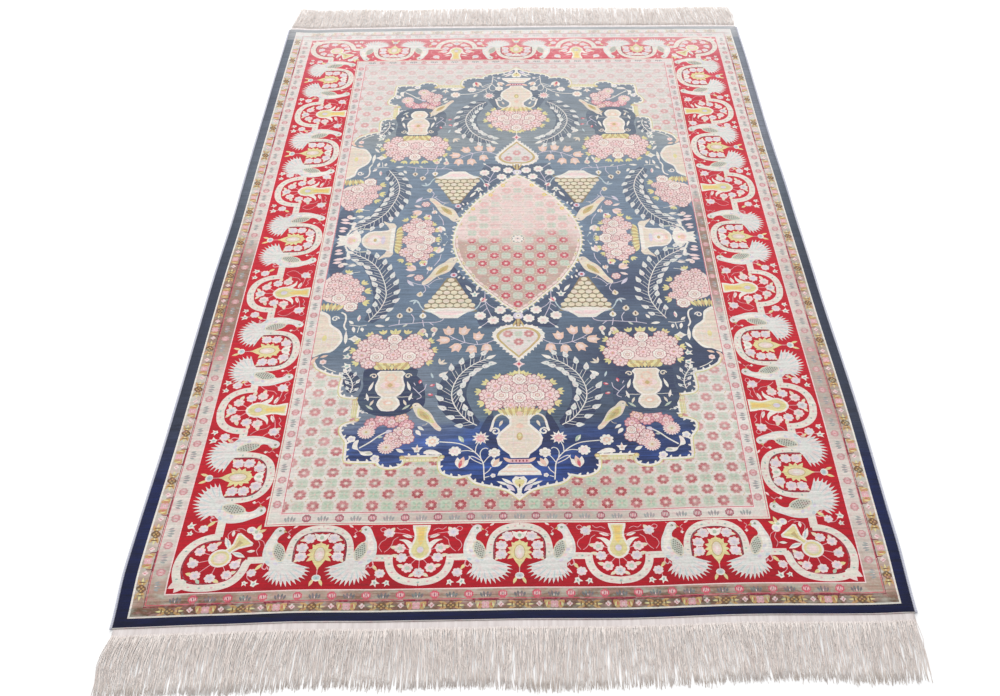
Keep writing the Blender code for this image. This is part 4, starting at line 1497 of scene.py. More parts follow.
def stray(table, share):
    """The table's offset at each share along the edge, eased between its rows."""
    share = np.clip(np.asarray(share, float), 0.0, 1.0)
    at = np.array([row[0] for row in table])
    off = np.array([row[1] for row in table])
    k = np.clip(np.searchsorted(at, share, side="right") - 1, 0, len(at) - 2)
    t = (share - at[k]) / (at[k + 1] - at[k])
    t = t * t * (3.0 - 2.0 * t)
    return off[k] + (off[k + 1] - off[k]) * t


def side_x(side, y):
    """x of a long edge at y; side is -1 left or 1 right."""
    table = LEFT_EDGE if side < 0 else RIGHT_EDGE
    share = np.asarray(y, float) / CLOTH_LENGTH + 0.5
    return side * (0.5 * CLOTH_WIDTH + stray(table, share))


def end_y(direction, x, outset=0.0):
    """y of an end edge at x; direction is -1 front or 1 back."""
    table = FRONT_EDGE if direction < 0 else BACK_EDGE
    share = np.asarray(x, float) / CLOTH_WIDTH + 0.5
    return direction * (0.5 * CLOTH_LENGTH + stray(table, share) + outset)


def edge_pull(s):
    """Share of an edge's stray that the pattern follows; s is 1 at that edge."""
    return 0.5 * (1.0 + s) * (0.55 + 0.45 * s ** 8)


def lay(points):
    """Points of the drawing, in millimetres, set on the cloth, in metres."""
    p = np.asarray(points, float) * 0.001
    row = p[:, 1] + stray(ROW_DRIFT, p[:, 1] / CLOTH_LENGTH + 0.5)
    s = 2.0 * p[:, 0] / CLOTH_WIDTH
    t = 2.0 * row / CLOTH_LENGTH
    along = row / CLOTH_LENGTH + 0.5
    x = p[:, 0] + edge_pull(s) * stray(RIGHT_EDGE, along) - edge_pull(-s) * stray(LEFT_EDGE, along)
    x += AXIS_SHIFT * np.clip(1.0 - s * s, 0.0, 1.0) ** 0.6
    y = 0.5 * (1.0 - t) * end_y(-1, p[:, 0]) + 0.5 * (1.0 + t) * end_y(1, p[:, 0])
    return np.stack([x, y], 1)


def pile_height(xy):
    """Height of the pile's top: almost level, lower in faint folds, rounded at the rim."""
    x, y = xy[:, 0], xy[:, 1]
    swell = np.sin(9.0 * y + 2.2 * np.sin(3.1 * x + 0.6)) + 0.7 * np.sin(17.0 * y - 4.0 * x + 1.3)
    swell += 0.5 * np.sin(13.0 * x + 5.0 * y + 0.4)
    top = CLOTH_THICK - FOLD * (1.0 + 0.45 * swell)
    edge = np.minimum.reduce([x - side_x(-1, y), side_x(1, y) - x,
                              y - end_y(-1, x), end_y(1, x) - y])
    depth = np.clip(1.0 - edge / RIM_ROUND, 0.0, 1.0)
    return top - RIM_ROUND * 0.8 * (1.0 - np.sqrt(1.0 - 0.96 * depth * depth))


def pile_normals(xy):
    step = 0.0004
    dx = pile_height(xy + (step, 0.0)) - pile_height(xy - (step, 0.0))
    dy = pile_height(xy + (0.0, step)) - pile_height(xy - (0.0, step))
    n = np.stack([-dx / (2 * step), -dy / (2 * step), np.ones(len(xy))], 1)
    return n / np.linalg.norm(n, axis=1)[:, None]


# ---- From outlines to a coloured mesh ----------------------------------------------------

def linear(rgb):
    c = np.asarray(rgb, float) / 255.0
    return np.where(c <= 0.04045, c / 12.92, ((c + 0.055) / 1.055) ** 2.4)


YARN_NAMES = list(YARNS)
YARN_LINEAR = np.array([linear(YARNS[name]) for name in YARN_NAMES])
# The dyes that drift over the rug, by number: the materials pick yarns out by it.
DYES = {"blue": 1.0, "navy": 2.0, "red": 3.0, "sage": 4.0, "shell": 5.0, "ink": 6.0,
        "madder": 7.0, "tan": 8.0, "haze": 9.0, "mint": 9.0, "leaf": 9.0, "crimson": 10.0}


def signed_area(line):
    x, y = line[:, 0], line[:, 1]
    return 0.5 * float(np.sum(x * np.roll(y, -1) - np.roll(x, -1) * y))


def densified(box, spacing=10.0):
    """The outline of a rectangle with points this far apart along its sides."""
    x0, y0, x1, y1 = box
    across = np.linspace(x0, x1, int(round((x1 - x0) / spacing)) + 1)
    along = np.linspace(y0, y1, int(round((y1 - y0) / spacing)) + 1)
    return np.array([(x, y0) for x in across[:-1]] + [(x1, y) for y in along[:-1]]
                    + [(x, y1) for x in across[:0:-1]] + [(x0, y) for y in along[:0:-1]])


SAME_POINT = 0.01                    # millimetres: points this close are one point
LEAST_AREA = 0.02                    # square millimetres: a smaller outline is left out


def usable(line, low, high):
    """The outline run anticlockwise, each point once; None where it draws nothing."""
    line = np.asarray(line, float)
    if (line.max(0) < low).any() or (line.min(0) > high).any():
        return None
    line = line[np.hypot(*(line - np.roll(line, 1, 0)).T) > SAME_POINT]
    area = signed_area(line) if len(line) > 2 else 0.0
    if abs(area) < LEAST_AREA:
        return None
    return line[::-1] if area < 0.0 else line


def arrange(base_yarn, base, motif, grid=22.0):
    """Cuts the overlapping outlines into triangles, each with the yarn of its top outline.
    Plain ground has points this grid apart, so that it follows the cloth's folds."""
    low, high = base.min(0), base.max(0)
    yarns = [base_yarn]
    points = [base]
    rings = [list(range(len(base)))]
    count = len(base)
    for yarn, line in motif:
        line = usable(line, low, high)
        if line is None:
            continue
        yarns.append(yarn)
        points.append(line)
        rings.append(list(range(count, count + len(line))))
        count += len(line)
    gx = np.arange(low[0] + grid, high[0] - 0.4 * grid, grid)
    gy = np.arange(low[1] + grid, high[1] - 0.4 * grid, grid)
    points.append(np.array([(x, y) for x in gx for y in gy]))
    flat = [Vector(p) for p in np.concatenate(points).tolist()]
    verts, _, faces, _, _, owners = delaunay_2d_cdt(flat, [], rings, 1, 1e-4, True)
    keep = [k for k, own in enumerate(owners) if 0 in own]
    tris = np.array([faces[k] for k in keep])
    plan = np.array([v[:] for v in verts])
    a, b, c = (plan[tris[:, k]] for k in range(3))
    size = 0.5 * np.abs((b - a)[:, 0] * (c - a)[:, 1] - (b - a)[:, 1] * (c - a)[:, 0])
    covered = np.zeros(len(yarns))
    for k, area in zip(keep, size):
        covered[owners[k]] += area
    real = [abs(signed_area(line)) for line in points[:len(yarns)]]
    # Where the cut gives an outline more than its own area, its winding decides instead.
    spilt = {k for k in range(len(yarns)) if covered[k] > 1.03 * real[k] + 0.5}
    top = []
    for k, middle in zip(keep, (a + b + c) / 3.0):
        over = [n for n in owners[k] if n not in spilt or winding(points[n], *middle)]
        top.append(YARN_NAMES.index(yarns[max(over)]))
    used, tris = np.unique(tris, return_inverse=True)
    return plan[used], tris.reshape(-1, 3), np.array(top)


def set_face_colours(mesh, colours, dyes):
    shade = mesh.attributes.new("yarn", "FLOAT_COLOR", "FACE")
    rgba = np.concatenate([colours, np.ones((len(colours), 1))], 1)
    shade.data.foreach_set("color", rgba.astype(np.float32).ravel())
    dye = mesh.attributes.new("dye", "FLOAT", "FACE")
    dye.data.foreach_set("value", np.asarray(dyes, np.float32))


def rim_loop(tris, count):
    """The points around the drawing's rim, in order."""
    edges = np.concatenate([tris[:, [0, 1]], tris[:, [1, 2]], tris[:, [2, 0]]])
    key = edges[:, 0].astype(np.int64) * count + edges[:, 1]
    twin = edges[:, 1].astype(np.int64) * count + edges[:, 0]
    rim = edges[~np.isin(key, twin)]
    after = dict(rim.tolist())
    loop = [int(rim[0, 0])]
    while after[loop[-1]] != loop[0]:
        loop.append(after[loop[-1]])
    return np.array(loop)


def slab(name, plan, tris, top, upper=True):
    """A slab from a cut drawing: the drawn face, its rim and a plain face behind."""
    xy = lay(plan)
    count = len(xy)
    loop = rim_loop(tris, count)
    n = len(loop)
    if upper:
        z = pile_height(xy)
        normals = pile_normals(xy)
        behind = np.full(n, BACKING_THICK - PILE_SUNK)
    else:
        z = np.zeros(count)
        normals = np.tile((0.0, 0.0, -1.0), (count, 1))
        behind = np.full(n, BACKING_THICK)
        tris = tris[:, ::-1]
    wall_top = np.column_stack([xy[loop], z[loop]])
    wall_low = np.column_stack([xy[loop], behind])
    run = np.roll(xy[loop], -1, 0) - np.roll(xy[loop], 1, 0)
    out = np.stack([run[:, 1], -run[:, 0]], 1) / np.hypot(run[:, 0], run[:, 1])[:, None]
    out = np.column_stack([out, np.zeros(n)])
    coords = np.concatenate([np.column_stack([xy, z]), wall_top, wall_low, wall_low])
    facing = np.tile((0.0, 0.0, -1.0 if upper else 1.0), (n, 1))
    normals = np.concatenate([normals, out, out, facing])
    k = np.arange(n)
    a, b = count + k, count + (k + 1) % n
    quads = np.stack([a, a + n, b + n, b], 1)
    if not upper:
        quads = quads[:, ::-1]
    cap = count + 2 * n + k
    cap = cap[::-1] if upper else cap
    mesh = bpy.data.meshes.new(name)
    mesh.from_pydata(coords.tolist(), [], tris.tolist() + quads.tolist() + [cap.tolist()])
    mesh.polygons.foreach_set("use_smooth", np.ones(len(mesh.polygons), bool))
    names = np.array([DYES.get(y, 0.0) for y in YARN_NAMES])
    dyes = names[top]
    owner = {}
    for t, row in zip(top.tolist(), tris.tolist()):
        for v in row:
            owner[v] = t
    edge_top = np.array([owner.get(int(v), 0) for v in loop])
    colours = np.concatenate([YARN_LINEAR[top], YARN_LINEAR[edge_top],
                              linear(YARNS["cream"])[None, :]])
    set_face_colours(mesh, colours, np.concatenate([dyes, names[edge_top], [0.0]]))
    add_plan_map(mesh, xy, len(tris))
    mesh.normals_split_custom_set_from_vertices(normals.tolist())
    obj = bpy.data.objects.new(name, mesh)
    bpy.context.scene.collection.objects.link(obj)
    return obj


# Start and size, in the texture map's square, of the drawn face and of all the rest.
DRAWN_PART = (0.004, 0.972)
REST_PART = (0.982, 0.014)


def add_plan_map(mesh, xy, drawn):
    """A texture map that gives the drawn face nearly all of the square."""
    uv = mesh.uv_layers.new(name="OFBake")
    low, high = xy.min(0), xy.max(0)
    where = np.empty(len(mesh.loops), np.int64)
    mesh.loops.foreach_get("vertex_index", where)
    flat = np.array([v.co[:] for v in mesh.vertices])
    share = (flat[where, :2] - low) / (high - low)
    square = DRAWN_PART[0] + DRAWN_PART[1] * share
    rest = 3 * drawn
    square[rest:] = REST_PART[0] + REST_PART[1] * share[rest:]
    uv.data.foreach_set("uv", square.astype(np.float32).ravel())


# ---- Materials ---------------------------------------------------------------------------

class Tree:
    """A material's nodes, with a short call for each kind. A colour given as a tuple is red,
    green and blue from 0 to 255; any other value is a number or another node's output."""

    def __init__(self, name):
        self.mat = bpy.data.materials.new(name)
        self.mat.use_nodes = True
        self.mat.node_tree.nodes.clear()
        out = self.node("OutputMaterial")
        self.shader = self.node("BsdfPrincipled")
        self.feed(out.inputs["Surface"], self.shader.outputs["BSDF"])
        self.place = self.node("TexCoord").outputs["Object"]
        split = self.node("SeparateXYZ", self.place)
        self.x, self.y = split.outputs[0], split.outputs[1]

    def node(self, kind, *values):
        """A new node with its first inputs fed in turn."""
        node = self.mat.node_tree.nodes.new("ShaderNode" + kind)
        for socket, value in zip(node.inputs, values):
            self.feed(socket, value)
        return node

    def feed(self, socket, value):
        if isinstance(value, bpy.types.NodeSocket):
            self.mat.node_tree.links.new(value, socket)
        elif isinstance(value, tuple):
            socket.default_value = (*linear(value), 1.0)
        else:
            socket.default_value = value

    def surface(self, **inputs):
        """Sets the shader's inputs, named in lower case with underscores."""
        sockets = {socket.name.lower().replace(" ", "_"): socket for socket in self.shader.inputs}
        for name, value in inputs.items():
            self.feed(sockets[name], value)

    def calc(self, operation, a, b=0.0, c=0.0, clamp=False):
        node = self.node("Math", a, b, c)
        node.operation = operation
        node.use_clamp = clamp
        return node.outputs[0]

    def add(self, a, b):
        return self.calc("ADD", a, b)

    def less(self, a, b, clamp=False):
        return self.calc("SUBTRACT", a, b, clamp=clamp)

    def times(self, a, b, clamp=False):
        return self.calc("MULTIPLY", a, b, clamp=clamp)

    def times_plus(self, a, b, c, clamp=False):
        """a times b, plus c."""
        return self.calc("MULTIPLY_ADD", a, b, c, clamp)

    def waves(self, along, length):
        """A sine wave from -1 to 1 that repeats at this length."""
        return self.calc("SINE", self.times(along, 2.0 * math.pi / length))

    def blend(self, share, a, b, mode="MIX"):
        node = self.node("Mix")
        node.data_type = "RGBA"
        node.blend_type = mode
        for number, value in ((0, share), (6, a), (7, b)):
            self.feed(node.inputs[number], value)
        return node.outputs[2]

    def ramp(self, value, stops):
        """Colours along the value, from stops of (place, colour)."""
        node = self.node("ValToRGB", value)
        strip = node.color_ramp
        while len(strip.elements) < len(stops):
            strip.elements.new(0.5)
        for element, (place, rgb) in zip(strip.elements, stops):
            element.position = place
            element.color = (*linear(rgb), 1.0)
        return node.outputs[0]

    def level(self, value, low, high, out_low=0.0, out_high=1.0):
        """The value's way from low to high, as a number from out_low to out_high."""
        return self.node("MapRange", value, low, high, out_low, out_high).outputs[0]

    def noise(self, across, along, detail=2.0, rough=0.5):
        """Noise from -1 to 1 at these repeats to the metre along x and y."""
        move = self.node("Mapping", self.place)
        move.inputs["Scale"].default_value = (across, along, 1.0)
        node = self.node("TexNoise", move.outputs[0])
        for name, value in (("Scale", 1.0), ("Detail", detail), ("Roughness", rough)):
            node.inputs[name].default_value = value
        return self.level(node.outputs[0], 0.28, 0.72, -1.0, 1.0)

    def attribute(self, name):
        node = self.node("Attribute")
        node.attribute_name = name
        return node.outputs

    def bump(self, height, distance, strength):
        node = self.node("Bump")
        for name, value in (("Strength", strength), ("Distance", distance), ("Height", height)):
            self.feed(node.inputs[name], value)
        self.feed(self.shader.inputs["Normal"], node.outputs[0])


# Each dye's own drift along the rug or the field, and the painted sheen that pales it towards the back:
# (share of the way to the back, colour).
BLUE_STOPS = ((0.000, (30, 44, 92)), (0.090, (40, 64, 122)), (0.135, (60, 84, 134)),
              (0.155, (88, 104, 120)), (0.300, (98, 114, 132)), (0.450, (108, 125, 146)),
              (0.700, (119, 133, 148)), (0.750, (136, 143, 148)), (0.850, (128, 137, 146)),
              (1.000, (112, 124, 140)))
INK_STOPS = ((0.000, (34, 40, 78)), (0.140, (44, 50, 82)), (0.300, (58, 64, 90)),
             (0.500, (72, 80, 104)), (0.800, (88, 98, 114)), (1.000, (92, 100, 116)))
NAVY_STOPS = ((0.000, (10, 16, 54)), (0.150, (22, 32, 76)), (0.220, (50, 56, 74)),
              (0.430, (54, 60, 78)), (0.520, (68, 76, 90)), (0.620, (92, 100, 112)),
              (0.800, (88, 94, 108)), (1.000, (110, 118, 128)))
RED_STOPS = ((0.000, (156, 4, 24)), (0.120, (180, 16, 34)), (0.500, (192, 26, 44)),
             (0.800, (192, 34, 52)), (0.900, (200, 70, 86)), (1.000, (202, 80, 94)))
SAGE_STOPS = ((0.000, (204, 196, 184)), (0.180, (223, 215, 208)), (0.500, (216, 208, 203)),
              (1.000, (216, 207, 204)))
TAN_STOPS = ((0.000, (92, 62, 42)), (0.018, (112, 80, 58)), (0.030, (168, 142, 126)),
             (0.070, (190, 174, 162)), (0.250, (198, 187, 176)),
             (0.380, (188, 172, 158)), (0.430, (160, 139, 124)), (0.500, (188, 175, 163)),
             (0.650, (194, 188, 181)), (1.000, (205, 203, 201)))
MADDER_NEAR = (166, 64, 72)
MADDER_FAR = (208, 154, 153)
CRIMSON_FAR = (222, 178, 174)
SHEEN_HAZE = (232, 228, 224)               # painted sheen: the pale haze the light lays over the far part of the rug
WARM = (172, 142, 126)               # the near half of the middle panel
UMBER = (142, 108, 90)               # where the light grounds are darkest
CELADON = (206, 208, 196)            # and where they turn green
OATMEAL = (228, 217, 210)            # the narrow side borders
VIVID_BLUE = (62, 94, 172)           # the most vivid blue, in patches across the front of the medallion
NIGHT_BLUE = (24, 34, 84)
PALE_BLUE = (158, 160, 172)          # a paler blue: painted highlight on the outer band's right side, a paler patch on the medallion's front left
ROSY = (216, 160, 164)               # what the light yarns have taken from their neighbours
GREENISH = (182, 200, 188)


class Pile(Tree):
    """Knotted silk: drawn yarns, each dye's own drift with painted sheen towards the back, streaks along
    the rows, and knots.
    """

    def __init__(self, name):
        super().__init__(name)
        self.dye = self.attribute("dye")["Fac"]
        self.streak = self.noise(5.0, 210.0, 3.0, 0.6)
        self.short = self.noise(40.0, 600.0)
        self.patch = self.noise(7.0, 9.0, 3.0)
        self.grain = self.noise(900.0, 900.0, 1.0)
        self.mottle = self.noise(42.0, 70.0)
        self.row = self.times_plus(self.patch, 0.012, self.times_plus(self.streak, 0.010, self.y))
        self.outward = self.calc("ABSOLUTE", self.x)
        self.rug_place = self.level(self.row, -0.75, 0.75)
        self.field_place = self.level(self.row, -0.60, 0.60)

    def dyed(self, yarn):
        """1 where the yarn is of this yarn's dye."""
        return self.calc("COMPARE", self.dye, DYES[yarn], 0.2)

    def dip(self, yarn, colour, tint):
        """The colour, with this tint on this yarn's dye."""
        return self.blend(self.dyed(yarn), colour, tint)

    def spot(self, at_x, at_y, wide, tall, share):
        """A soft oval patch on the cloth, as strong as share at its middle."""
        dx = self.calc("DIVIDE", self.less(self.x, at_x), wide)
        dy = self.calc("DIVIDE", self.less(self.y, at_y), tall)
        far = self.add(self.times(dx, dx), self.times(dy, dy))
        return self.level(far, 1.0, 0.25, 0.0, share)

    def field_ground(self):
        """The field's light ground: browner in the front middle and at the right side."""
        ground = self.ramp(self.rug_place, SAGE_STOPS)
        front = self.times(self.level(self.row, -0.44, -0.56, 0.0, 0.48),
                           self.level(self.outward, 0.25, 0.10))
        mottled = self.level(self.mottle, 0.0, 1.0, 0.0, 0.12)
        for share in (front, mottled, self.spot(0.333, -0.035, 0.026, 0.19, 0.95)):
            ground = self.blend(share, ground, UMBER)
        return ground

    def border_ground(self):
        """The minor borders' tan: mottled, paler at the sides, with a brown patch on each."""
        tan = self.ramp(self.rug_place, TAN_STOPS)
        for sign, tint in ((1.0, UMBER), (-1.0, CELADON)):
            tan = self.blend(self.level(self.mottle, 0.0, sign, 0.0, 0.45), tan, tint)
        sides = self.times(self.level(self.outward, 0.473, 0.469, 0.0, 0.60),
                           self.level(self.row, -0.69, -0.58))
        tan = self.blend(self.times(sides, self.level(self.y, 0.705, 0.701)), tan, OATMEAL)
        tan = self.blend(self.spot(-0.466, -0.150, 0.055, 0.18, 0.95), tan, UMBER)
        return self.blend(self.spot(0.466, -0.350, 0.050, 0.13, 0.55), tan, UMBER)

    def outer_navy(self):
        """The outer band, with a painted highlight along the back of its right side."""
        # Painted highlight: the right side's navy pales from the middle to the back.
        paler = self.times(self.level(self.x, 0.47, 0.49), self.level(self.row, 0.18, 0.32, 0.0, 0.34))
        return self.blend(paler, self.ramp(self.rug_place, NAVY_STOPS), PALE_BLUE)

    def blues(self):
        """The medallion's blue, its darker batch, and the ink that darkens them."""
        # The blue ramps carry painted sheen towards the back as well as the dye's drift.
        ink = self.ramp(self.field_place, INK_STOPS)
        blue = self.ramp(self.field_place, BLUE_STOPS)
        uneven = self.times_plus(self.patch, 0.8, self.streak)
        darker = self.blend(self.level(uneven, -0.9, 0.5, 0.35, 0.96), blue, ink)
        paler = self.times(self.level(self.x, -0.04, -0.15),
                          self.level(self.row, -0.27, -0.33, 0.0, 0.28))
        paler = self.times(paler, self.level(self.row, -0.47, -0.42, 0.25, 1.0))
        blue = self.blend(paler, blue, PALE_BLUE)
        front_band = self.level(self.row, -0.41, -0.45)
        pool = self.times_plus(self.streak, 0.35, self.noise(11.0, 26.0))
        for sign, tint in ((1.0, VIVID_BLUE), (-1.0, NIGHT_BLUE)):
            share = self.level(pool, 0.05 * sign, 0.75 * sign, 0.0, 0.55)
            blue = self.blend(self.times(front_band, share), blue, tint)
        return blue, darker, ink

    def paleness(self):
        """How much paler the madder reds are: more from the front towards the middle, towards the sides
        and towards the back, unevenly.
        """
        pale = self.add(self.level(self.row, -0.56, -0.30, 0.0, 0.62),
                        self.level(self.outward, 0.10, 0.30, 0.0, 0.46))
        pale = self.add(pale, self.level(self.row, 0.00, 0.30, 0.0, 0.35))
        pale = self.times_plus(self.mottle, 0.28, pale)
        return self.times_plus(self.short, 0.12, pale, True)

    def middle_panel(self, colour):
        """The middle panel, darker and browner on its near half from its cross line, and its red
        flowers, deeper on that half.
        """
        shell = YARNS["shell"]
        near = self.level(self.times_plus(self.patch, 0.030, self.y), 0.010, -0.012)
        panel = self.blend(self.times(near, 0.75), shell, WARM)
        panel = self.blend(self.level(self.mottle, 0.0, 1.0, 0.0, 0.25), panel, MADDER_FAR)
        colour = self.dip("shell", colour, panel)
        crimson = self.blend(near, CRIMSON_FAR, YARNS["crimson"])
        blank = self.times(self.level(self.outward, 0.060, 0.020, 0.0, 0.72),
                           self.level(self.y, -0.02, 0.05))
        blank = self.times(blank, self.level(self.y, 0.14, 0.10), True)
        colour = self.dip("crimson", colour, self.blend(blank, crimson, shell))
        return self.blend(self.times(blank, self.dyed("haze")), colour, shell)

    def dyes(self, painted_sheen):
        """The yarns with each dye's own drift and painted sheen, under a painted sheen haze towards the
        far edge.
        """
        blue, darker, ink = self.blues()
        ground = self.field_ground()
        colour = self.attribute("yarn")["Color"]
        # The ramps along the rug carry painted sheen that pales them towards the back.
        for yarn, tint in (("blue", blue), ("ink", darker), ("navy", self.outer_navy()),
                           ("red", self.ramp(self.rug_place, RED_STOPS)), ("sage", ground),
                           ("tan", self.border_ground())):
            colour = self.dip(yarn, colour, tint)
        aside = self.times(self.level(self.x, 0.02, 0.14), self.level(self.row, 0.02, -0.10))
        aside = self.times(aside, self.level(self.patch, -0.9, 0.4, 0.10, 0.85))
        colour = self.blend(self.times(aside, self.dyed("blue")), colour, ink)
        pale = self.paleness()
        paler = self.times_plus(self.mottle, 0.12, self.level(self.row, 0.36, 0.54, 0.0, 0.50))
        madder = self.blend(paler, self.blend(pale, MADDER_NEAR, MADDER_FAR), ground)
        colour = self.dip("madder", colour, madder)
        soft = self.add(self.times(pale, 0.55), self.level(self.row, 0.30, 0.50, 0.0, 0.30))
        colour = self.blend(self.times(soft, self.dyed("haze"), True), colour, ground)
        colour = self.middle_panel(colour)
        # Painted sheen: a pale haze over the far part of the rug, weaker on the outer navy band.
        away = self.add(self.level(self.row, 0.60, 0.745, 0.0, 0.34 * painted_sheen),
                        self.level(self.y, 0.700, 0.706, 0.0, 0.24 * painted_sheen))
        away = self.less(away, self.times(self.dyed("navy"), 0.24), True)
        return self.blend(away, colour, SHEEN_HAZE)

    def tinged(self, colour, deep):
        """The light yarns have taken a little red and green from their neighbours."""
        tinge = self.noise(90.0, 150.0, 3.0, 0.6)
        light_yarn = self.less(1.0, self.add(deep, self.dyed("red")))
        for sign, tint in ((1.0, ROSY), (-1.0, GREENISH)):
            share = self.times(self.level(tinge, 0.0, sign, 0.0, 0.38), light_yarn)
            colour = self.blend(share, colour, tint)
        return colour

    def lightness(self, deep):
        """Streaks, specks and patches, and the darker last row at the front."""
        light = self.times_plus(self.streak, 0.105, 0.93)
        light = self.times_plus(self.short, 0.080, light)
        last = self.times(self.level(self.y, -0.720, -0.724, 0.0, 0.13),
                          self.level(self.y, -0.738, -0.736))
        light = self.less(light, last)
        uneven = self.times_plus(self.mottle, 0.7, self.add(self.short, self.streak))
        lively = self.times(deep, self.level(self.row, -0.36, -0.45, 0.09, 0.22))
        lively = self.times_plus(self.dyed("red"), 0.08, lively)
        light = self.times_plus(lively, uneven, light)
        for texture, share in ((self.noise(300.0, 330.0), 0.078), (self.patch, 0.035),
                               (self.grain, 0.050)):
            light = self.times_plus(texture, share, light)
        return light

    def relief(self, knot):
        """The knots' bumps, with the rows' streaks."""
        across, along = self.waves(self.x, knot), self.waves(self.y, knot)
        knots = self.times_plus(along, 0.6, self.times(across, 0.4))
        knots = self.times_plus(self.streak, 0.8, knots)
        self.bump(self.times_plus(self.grain, 0.5, knots), 0.00016, 0.55)


def pile_material(name, knot, painted_sheen):
    """The pile, or the back; knot is the length of a knot, and the last number is how strong the painted
    sheen haze over the far edge is.
    """
    t = Pile(name)
    deep = t.add(t.add(t.dyed("blue"), t.dyed("ink")), t.dyed("navy"))
    light = t.lightness(deep)
    colour = t.tinged(t.dyes(painted_sheen), deep)
    colour = t.blend(1.0, colour, t.node("CombineColor", light, light, light).outputs[0], "MULTIPLY")
    t.surface(base_color=colour, roughness=t.level(t.streak, -1.0, 1.0, 0.52, 0.70),
              specular_ior_level=0.18, sheen_weight=0.10, sheen_roughness=0.45)
    t.relief(knot)
    return t.mat


def cotton_material(name, light, dark, pitch, tan=0.0):
    """Undyed cotton and silk ends: fine lines along the strands, tan towards the tips."""
    t = Tree(name)
    colour = t.blend(t.level(t.noise(pitch, 14.0), -1.0, 1.0), dark, light)
    if tan:
        out = t.level(t.calc("ABSOLUTE", t.y), 0.815, 0.858)
        share = t.times(out, t.level(t.noise(30.0, 40.0), -0.5, 1.0, 0.0, tan), True)
        colour = t.blend(share, colour, (206, 184, 160))
    t.surface(base_color=colour, roughness=0.72, sheen_weight=0.25, sheen_roughness=0.5)
    t.bump(t.calc("SINE", t.times_plus(t.x, 3800.0, t.times(t.y, 5200.0))), 0.00008, 0.5)
    return t.mat


def cord_material(name):
    """Overcast edge: pale blue grey yarn wrapped round, with painted shade in the grooves between the
    wraps.
    """
    t = Tree(name)
    wrap = t.waves(t.y, 0.0024)
    colour = t.blend(t.level(t.noise(3.0, 6.0, 3.0), -1.0, 1.0), (176, 178, 196), (214, 212, 220))
    # Painted shade in the grooves between the wraps.
    colour = t.blend(t.level(wrap, -1.0, -0.3, 0.35, 0.0), colour, (96, 104, 136))
    t.surface(base_color=colour, roughness=0.6, sheen_weight=0.3)
    t.bump(wrap, 0.00025, 0.8)
    return t.mat


def floor_material():
    t = Tree("pale_floor")
    haze = t.level(t.noise(1.2, 1.2), -1.0, 1.0)
    t.surface(base_color=t.blend(haze, (252, 252, 252), (254, 254, 254)), roughness=0.85,
              specular_ior_level=0.1)
    return t.mat


# ---- Fringe, kilim strips and overcast edges ---------------------------------------------

STRIP_WIDTH = 0.0115                 # the kilim strip, front to back
STRIP_THICK = 0.0016
STRIP_INSET = 0.0010                 # its ends lie this far inside the cloth's sides
SEAM_GAP = 0.0003                    # between the cloth and the strip or cord beside it
CORD_RADIUS = 0.0017
CORD_INSET = 0.001                   # the cord stops this far short of each corner
CORD_SIDES = 8
STRAND_START = 0.85 * STRIP_WIDTH    # where the strands come out of the strip
STRAND_INSET = 0.0012
STRAND_STEPS = 6
# Thick strands, then fine ones: (how many, radius, how high they arch, extra waywardness).
STRAND_ROWS = ((1150, 0.00056, 0.0009, 0.30), (520, 0.00040, 0.0022, 1.0))
# How the strands' length and their sweep vary along an end: (turns, size, start).
REACH_WAVES = ((2.0, 0.0026, 0.9), (5.3, 0.0017, 2.3))
SWEEP_WAVES = ((3.0, 0.0040, 0.4), (7.7, 0.0022, 1.9))
# Each end's direction and reach, and how far its left and right corners pull sideways, half
# way along the strands and at their tips.
ENDS = (
    ("front", -1.0, 0.092, (-0.0090, -0.0010), (-0.0050, -0.0040)),
    ("back", 1.0, 0.098, (0.0035, 0.0010), (0.0080, -0.0040)),
)


def wave_sum(waves, share):
    return sum(size * np.sin(2.0 * np.pi * turns * share + start) for turns, size, start in waves)


def link(name, coords, faces, material, smooth=True):
    mesh = bpy.data.meshes.new(name)
    mesh.from_pydata(np.asarray(coords).tolist(), [], faces)
    if smooth:
        mesh.polygons.foreach_set("use_smooth", np.ones(len(mesh.polygons), bool))
    mesh.materials.append(material)
    obj = bpy.data.objects.new(name, mesh)
    bpy.context.scene.collection.objects.link(obj)
    return obj


def end_span(direction, inset):
    """x of both corners of an end, moved this far inwards."""
    y = direction * 0.5 * CLOTH_LENGTH
    return side_x(-1, y) + inset, side_x(1, y) - inset


def tube_faces(tubes, rings, sides):
    faces = []
    for t in range(tubes):
        first = t * rings * sides
        for k in range(rings - 1):
            for j in range(sides):
                a = first + k * sides + j
                b = first + k * sides + (j + 1) % sides
                faces.append([a, b, b + sides, a + sides])
        faces.append([first + j for j in range(sides)][::-1])
        faces.append([first + (rings - 1) * sides + j for j in range(sides)])
    return faces


